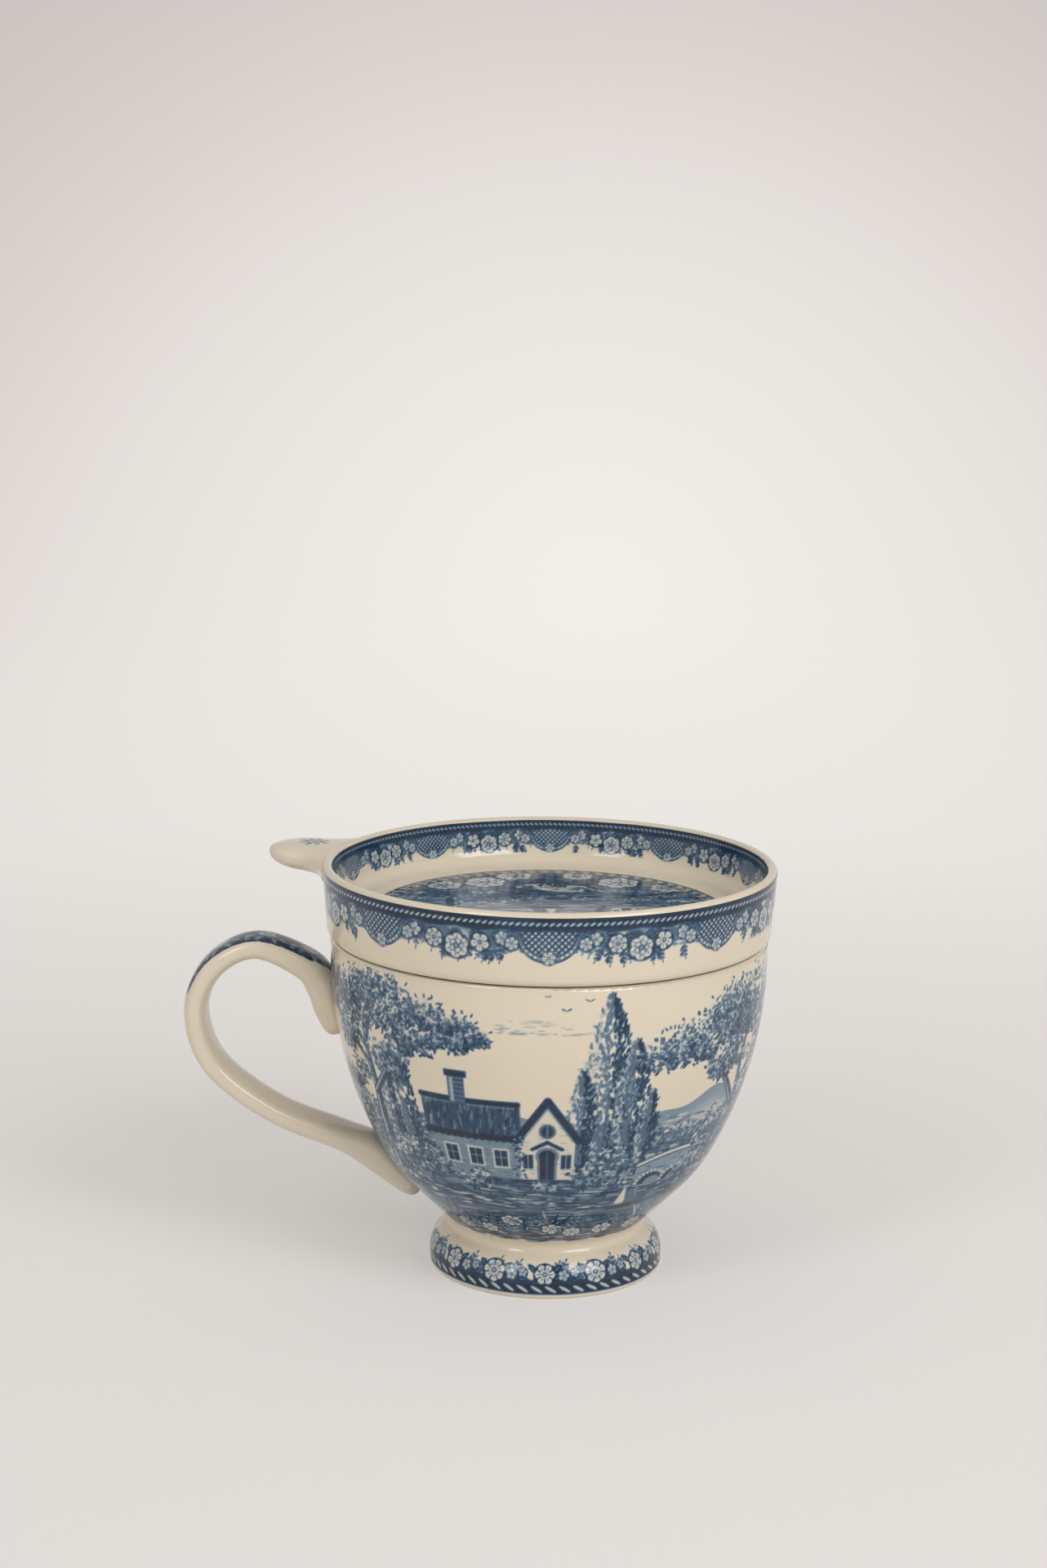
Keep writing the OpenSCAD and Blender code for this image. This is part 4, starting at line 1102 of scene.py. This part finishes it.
def dish_picture(plate, rng):
    """The dish's round picture: a garden by a lake, framed by leaves. Its centre is the plate's
    own and its top points away from its flowers."""
    clouds(plate, rng, (38, 86, 26, 4), (62, 80, 24, 4), (50, 90, 18, 3))
    birds(plate, 46, 84)
    for high, low, ink, fade, long in ((72, 62, 0.4, 0.15, 9), (67, 60, 0.55, 0.3, 7)):
        ridge(plate, 6, 94, lambda x: high + 2.6 * sin(x / long + high) + sin(x / 3.1), low, ink, fade)
    ridge(plate, 0, 99.5, 62, 6, 0.25, 0.7, 0)
    strokes(plate, rng, 6, 94, 44, 62, 620, 5.0, 0.35, (0.5, 0.65, 0.05))
    strokes(plate, rng, 6, 94, 8, 46, 1500, 5.0, 0.45, (0.85, 0.62, 0.3, 0.95))
    for x in (14, 20, 27, 48, 56, 61, 80, 87):
        crown(plate, rng, x, 64 + rng.uniform(-1, 1.5), 4.2, 3.0, 5, 1.0, dark=0.85)
    boat(plate, 51, 49, 1.1)
    bank(plate, rng, 2, 50, 50, 32)
    cottage(plate, 27, 49, 1.15)
    poplars(plate, rng, (13, 48, 22), (18, 48, 16), (37, 48, 17))
    bank(plate, rng, 50, 99, 44, 22)
    grove(plate, rng, ((3.8, (74, 38), (73, 48), (75, 58), (73, 68)), (2.0, (74, 54), (66, 60), (60, 66))),
          ((75, 72, 12, 7, 18), (64, 68, 7, 5, 9), (85, 64, 7, 6, 9), (70, 58, 5, 4, 5)))
    # A dark lawn with a small pond among bushes.
    ridge(plate, 0, 99.5, lambda x: 39 + 2.5 * sin(x / 7) + sin(x / 3), 2, 0.9, 0.98, 0)
    strokes(plate, rng, 8, 92, 8, 38, 700, 3.5, 0.42, (0.97, 0.55, 0.3))
    disc(plate, 46, 29, 7, 0.06, 3.6)
    disc(plate, 52, 27, 5, 0.06, 2.6)
    strokes(plate, rng, 40, 55, 25, 32, 60, 3.0, 0.4, (0.6, 0.4, 0.9))
    for x, y in ((40, 27), (49, 23.5), (57, 26)):
        reeds(plate, rng, x, y, 22, 5, 6)
    shrubs(plate, rng, (66, 40, 8, 5), (84, 42, 8, 5), (22, 38, 8, 4), (72, 31, 8, 4), (29, 31, 8, 4),
           (86, 34, 6, 4), (48, 38, 9, 3))
    for x, y, size in ((21, 27, 4.4), (33, 22, 5.4), (66, 23, 5.2), (76, 27, 4.4), (43, 15, 4.0),
                       (59, 15.5, 4.6)):
        for k in range(9):
            spray(plate, x, y, 40 * k + rng.uniform(-12, 12), 1.55 * size, 4, 0.62 * size,
                  (0.97, 0.3, 0.75)[k % 3], rng.uniform(-40, 40), (0.25, 0.85, 0.25)[k % 3])
        rose(plate, x, y, size)
    # A ring of leaves on a dark band closes the picture.
    disc(plate, 50, 50, 43.5, 0.93, hole=38.0 / 43.5)
    for a in range(0, 360, 5):
        for turn, reach, width, ink in ((62, 3.2, 1.2, 0.12), (62, 2.6, 0.25, 0.8), (118, 2.6, 1.0, 0.3)):
            leaf(plate, *around(plate, 50, 50, 39.6, a), a + turn, reach, width, ink, 0.8)


finish_node("lid_dish", plain_ware)
LID_TOP, LIP_R, LIP_ROUND = 99.3, 54.0, 1.2
LID_CORNER_Z, LID_BASE_R, LID_CORNER = 84.2, 53.05, 2.2
DISH_Z, DISH_SIDE_R, DISH_CURVE = 87.7, 50.6, 5.0
LIP_LIFT, WALL_LIFT, PICTURE_LIFT = 0.02, -0.06, 0.03
LID_SWEEP_R, WALL_SWEEP_R = 53.6, 51.0
WALL_CELL = 0.28


def arc(x, z, r, first, last, count):
    """Points of an arc round (x, z) between two angles from the outward level, in degrees."""
    a = radians(linspace(first, last, count))
    return stack([x + r * cos(a), z + r * sin(a)], -1)


def lip_arc(first, last):
    """Points of the rolled lip between two angles."""
    return arc(LIP_R - LIP_ROUND, LID_TOP - LIP_ROUND, LIP_ROUND, first, last, 12)


wall = concatenate([[[LID_BASE_R, LID_CORNER_Z]], lip_arc(0, 11)])
wall_run = run_of(wall)[-1]
lid_plate = blank_plate(2 * pi * LID_SWEEP_R, wall_run, PLATE_CELL)
border(lid_plate, np.random.default_rng(5), wall_run, 0.98, 8, 1.45, 1.5)
# The lip is the widest edge of all, so no lifted point may pass it.
wall = minimum(evenly(wall, SKIN_CELL), (LIP_R - LIP_LIFT, LID_TOP))
print_skin("lid_border_print", wall, rounds(LID_SWEEP_R, SKIN_CELL), lid_plate, LID_SWEEP_R, "lid", LIP_LIFT)

# The lid's lower edge is wiped bare so that it can stand in the kiln. Its dull dark brown, in
# patches of about 4 mm, is painted shade that darkens the seam between lid and mug.
SEAM_SHADE_DARK, SEAM_SHADE_LIGHT = "#4b3826", "#6b5540"
BARE_LOW, BARE_HIGH = -84, -56
seam_shade_clay, tree, where = new_material("bare clay with painted seam shade")
seam_shade_patches = add_node(tree, "TexNoise", {"Vector": where, "Scale": 250.0, "Detail": 2.0})
tone = add_node(tree, "Mix", {"Factor": seam_shade_patches, "A": linear(SEAM_SHADE_DARK), "B": linear(SEAM_SHADE_LIGHT)},
                data_type="RGBA")
dry = add_node(tree, "BsdfPrincipled", {"Base Color": tone, "Roughness": 0.8})
add_node(tree, "OutputMaterial", {"Surface": dry})
# A thin band round the underside of the lid's corner carries this painted seam shade.
edge = arc(LID_BASE_R - LID_CORNER, LID_CORNER_Z, LID_CORNER + LIP_LIFT, BARE_LOW, BARE_HIGH, 10)
seam_shade_edge = grid_mesh("lid_seam_shade_edge", turned(edge, linspace(0, 2 * pi, 481)[:-1]), True)
fix_clay(seam_shade_edge, seam_shade_clay, "lid")

# The same border runs round the dish's wall at three quarters of the size.
inner = concatenate([arc(DISH_SIDE_R - DISH_CURVE, DISH_Z + DISH_CURVE, DISH_CURVE, -26, 0, 12),
                     lip_arc(180, 155)])
inner_run = run_of(inner)[-1]
inner_plate = blank_plate(2 * pi * WALL_SWEEP_R, inner_run, FINE_PLATE_CELL)
border(inner_plate, np.random.default_rng(6), inner_run, 0.76, 10, 1.1, 1.2)
print_skin("dish_wall_print", evenly(inner, WALL_CELL), rounds(WALL_SWEEP_R), inner_plate, WALL_SWEEP_R,
           "lid", WALL_LIFT)

# The dish's round picture lies on a disc without a pole: a square grid bent into a circle. Its
# sky is at the mug's front.
PICTURE_R, PICTURE_SIDE = 42.0, 280
dish_plate = blank_plate(100.0, 100.0, PLATE_CELL)
dish_picture(dish_plate, np.random.default_rng(9))
u, v = np.meshgrid(linspace(-1, 1, PICTURE_SIDE), linspace(-1, 1, PICTURE_SIDE))
flat = stack([u * sqrt(1 - v * v / 2), v * sqrt(1 - u * u / 2)], -1)
x, y = PICTURE_R * flat[..., 0], PICTURE_R * flat[..., 1]
picture = grid_mesh("dish_floor_print", stack([x, y, 0 * x + DISH_Z + PICTURE_LIFT], -1),
                    ink=ink_at(dish_plate, 50 - x, 50 - y), uv=flat * 0.498 + 0.5)
fix_clay(picture, printed_ware, "lid")

# ---- The thumb tab
# A rounded tongue pressed from the same clay and luted to the lip, flaring into it on both
# sides. One small sprig is printed on its top.


def tab_sprig(plate, x, y):
    """The tab's sprig: one daisy in a ring of leaves, about 8 mm across."""
    for k in range(8):
        foot = around(plate, x, y, 1.4, 45 * k)
        leaf(plate, *foot, 45 * k + 14, 2.5, 1.1, (0.8, 0.55)[k % 2], 0.8)
        leaf(plate, *foot, 45 * k + 14, 2.2, 0.2, 0.15)
        disc(plate, *around(plate, x, y, 3.5, 45 * k + degrees(0.4)), 0.25, 0.6)
    disc(plate, x, y, 1.9, 0.8)
    flower(plate, x, y, 1.7, 6, 0.05, 0.8)


TAB_LENGTH, TAB_WIDTH, TAB_THICK = 17.4, 18.0, 6.5
TAB_TURN = radians(17.0)
TAB_ROOT, TAB_FLARE, TAB_CROWN, TAB_THINNING = 4.0, 0.67 * TAB_WIDTH, 0.3, 0.38 * TAB_THICK
TIP_BLUNT, ROOT_DEEPER = 0.0004, 0.3
# The sprig's middle lies this far out from the lip, and in the middle of its square plate.
SPRIG_OUT, SPRIG_HALF, SPRIG_CELL = 6.3, 12.0, 0.15
UPPER_FACE = 0.6
tip, root = LIP_R + TAB_LENGTH, LIP_R - TAB_ROOT
round_x = tip - TAB_WIDTH / 2
x = (root + (tip - root) * sin(linspace(0, pi / 2, 110)))[:, None]
along = (x - root) / (tip - root)
end = maximum(1 - (maximum(x - round_x, 0) / (TAB_WIDTH / 2)) ** 2, TIP_BLUNT)
half_wide = sqrt(end) * TAB_WIDTH / 2 + TAB_FLARE * (maximum(round_x - x, 0) / (round_x - root)) ** 2.2
top = LID_TOP + TAB_CROWN * (1 - (2 * along - 1) ** 2)
keel = LID_TOP - TAB_THICK + TAB_THINNING * along ** 3
half_thick = end ** 0.3 * (top - keel) / 2
tab_x, tab_y, tab_z = np.broadcast_arrays(x, half_wide * across, (top + keel) / 2 + half_thick * thick)
# The root and its whole end stop inside the lip, so that no gap shows at the joint.
reach = hypot(tab_x, tab_y)
push = maximum((LIP_R - LIP_ROUND) / reach, 1)
push[0] = (LIP_R - LIP_ROUND - ROOT_DEEPER) / reach[0]
tab_x, tab_y = tab_x * push, tab_y * push
tab_plate = blank_plate(2 * SPRIG_HALF, 2 * SPRIG_HALF, SPRIG_CELL)
tab_sprig(tab_plate, SPRIG_HALF, SPRIG_HALF)
ink = ink_at(tab_plate, *(clip(side + SPRIG_HALF, 0, 2 * SPRIG_HALF - 0.5)
                          for side in (tab_y, tab_x - LIP_R - SPRIG_OUT)))
points = stack([-tab_x * cos(TAB_TURN) - tab_y * sin(TAB_TURN),
                tab_x * sin(TAB_TURN) - tab_y * cos(TAB_TURN), tab_z], -1)
tab = grid_mesh("lid_thumb_tab", points, True, ink * (thick > UPPER_FACE))
close_ends(tab, STRAP_POINTS)
fix_clay(tab, printed_ware, "lid")
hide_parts("thumb_tab")
finish_node("thumb_tab", plain_ware)
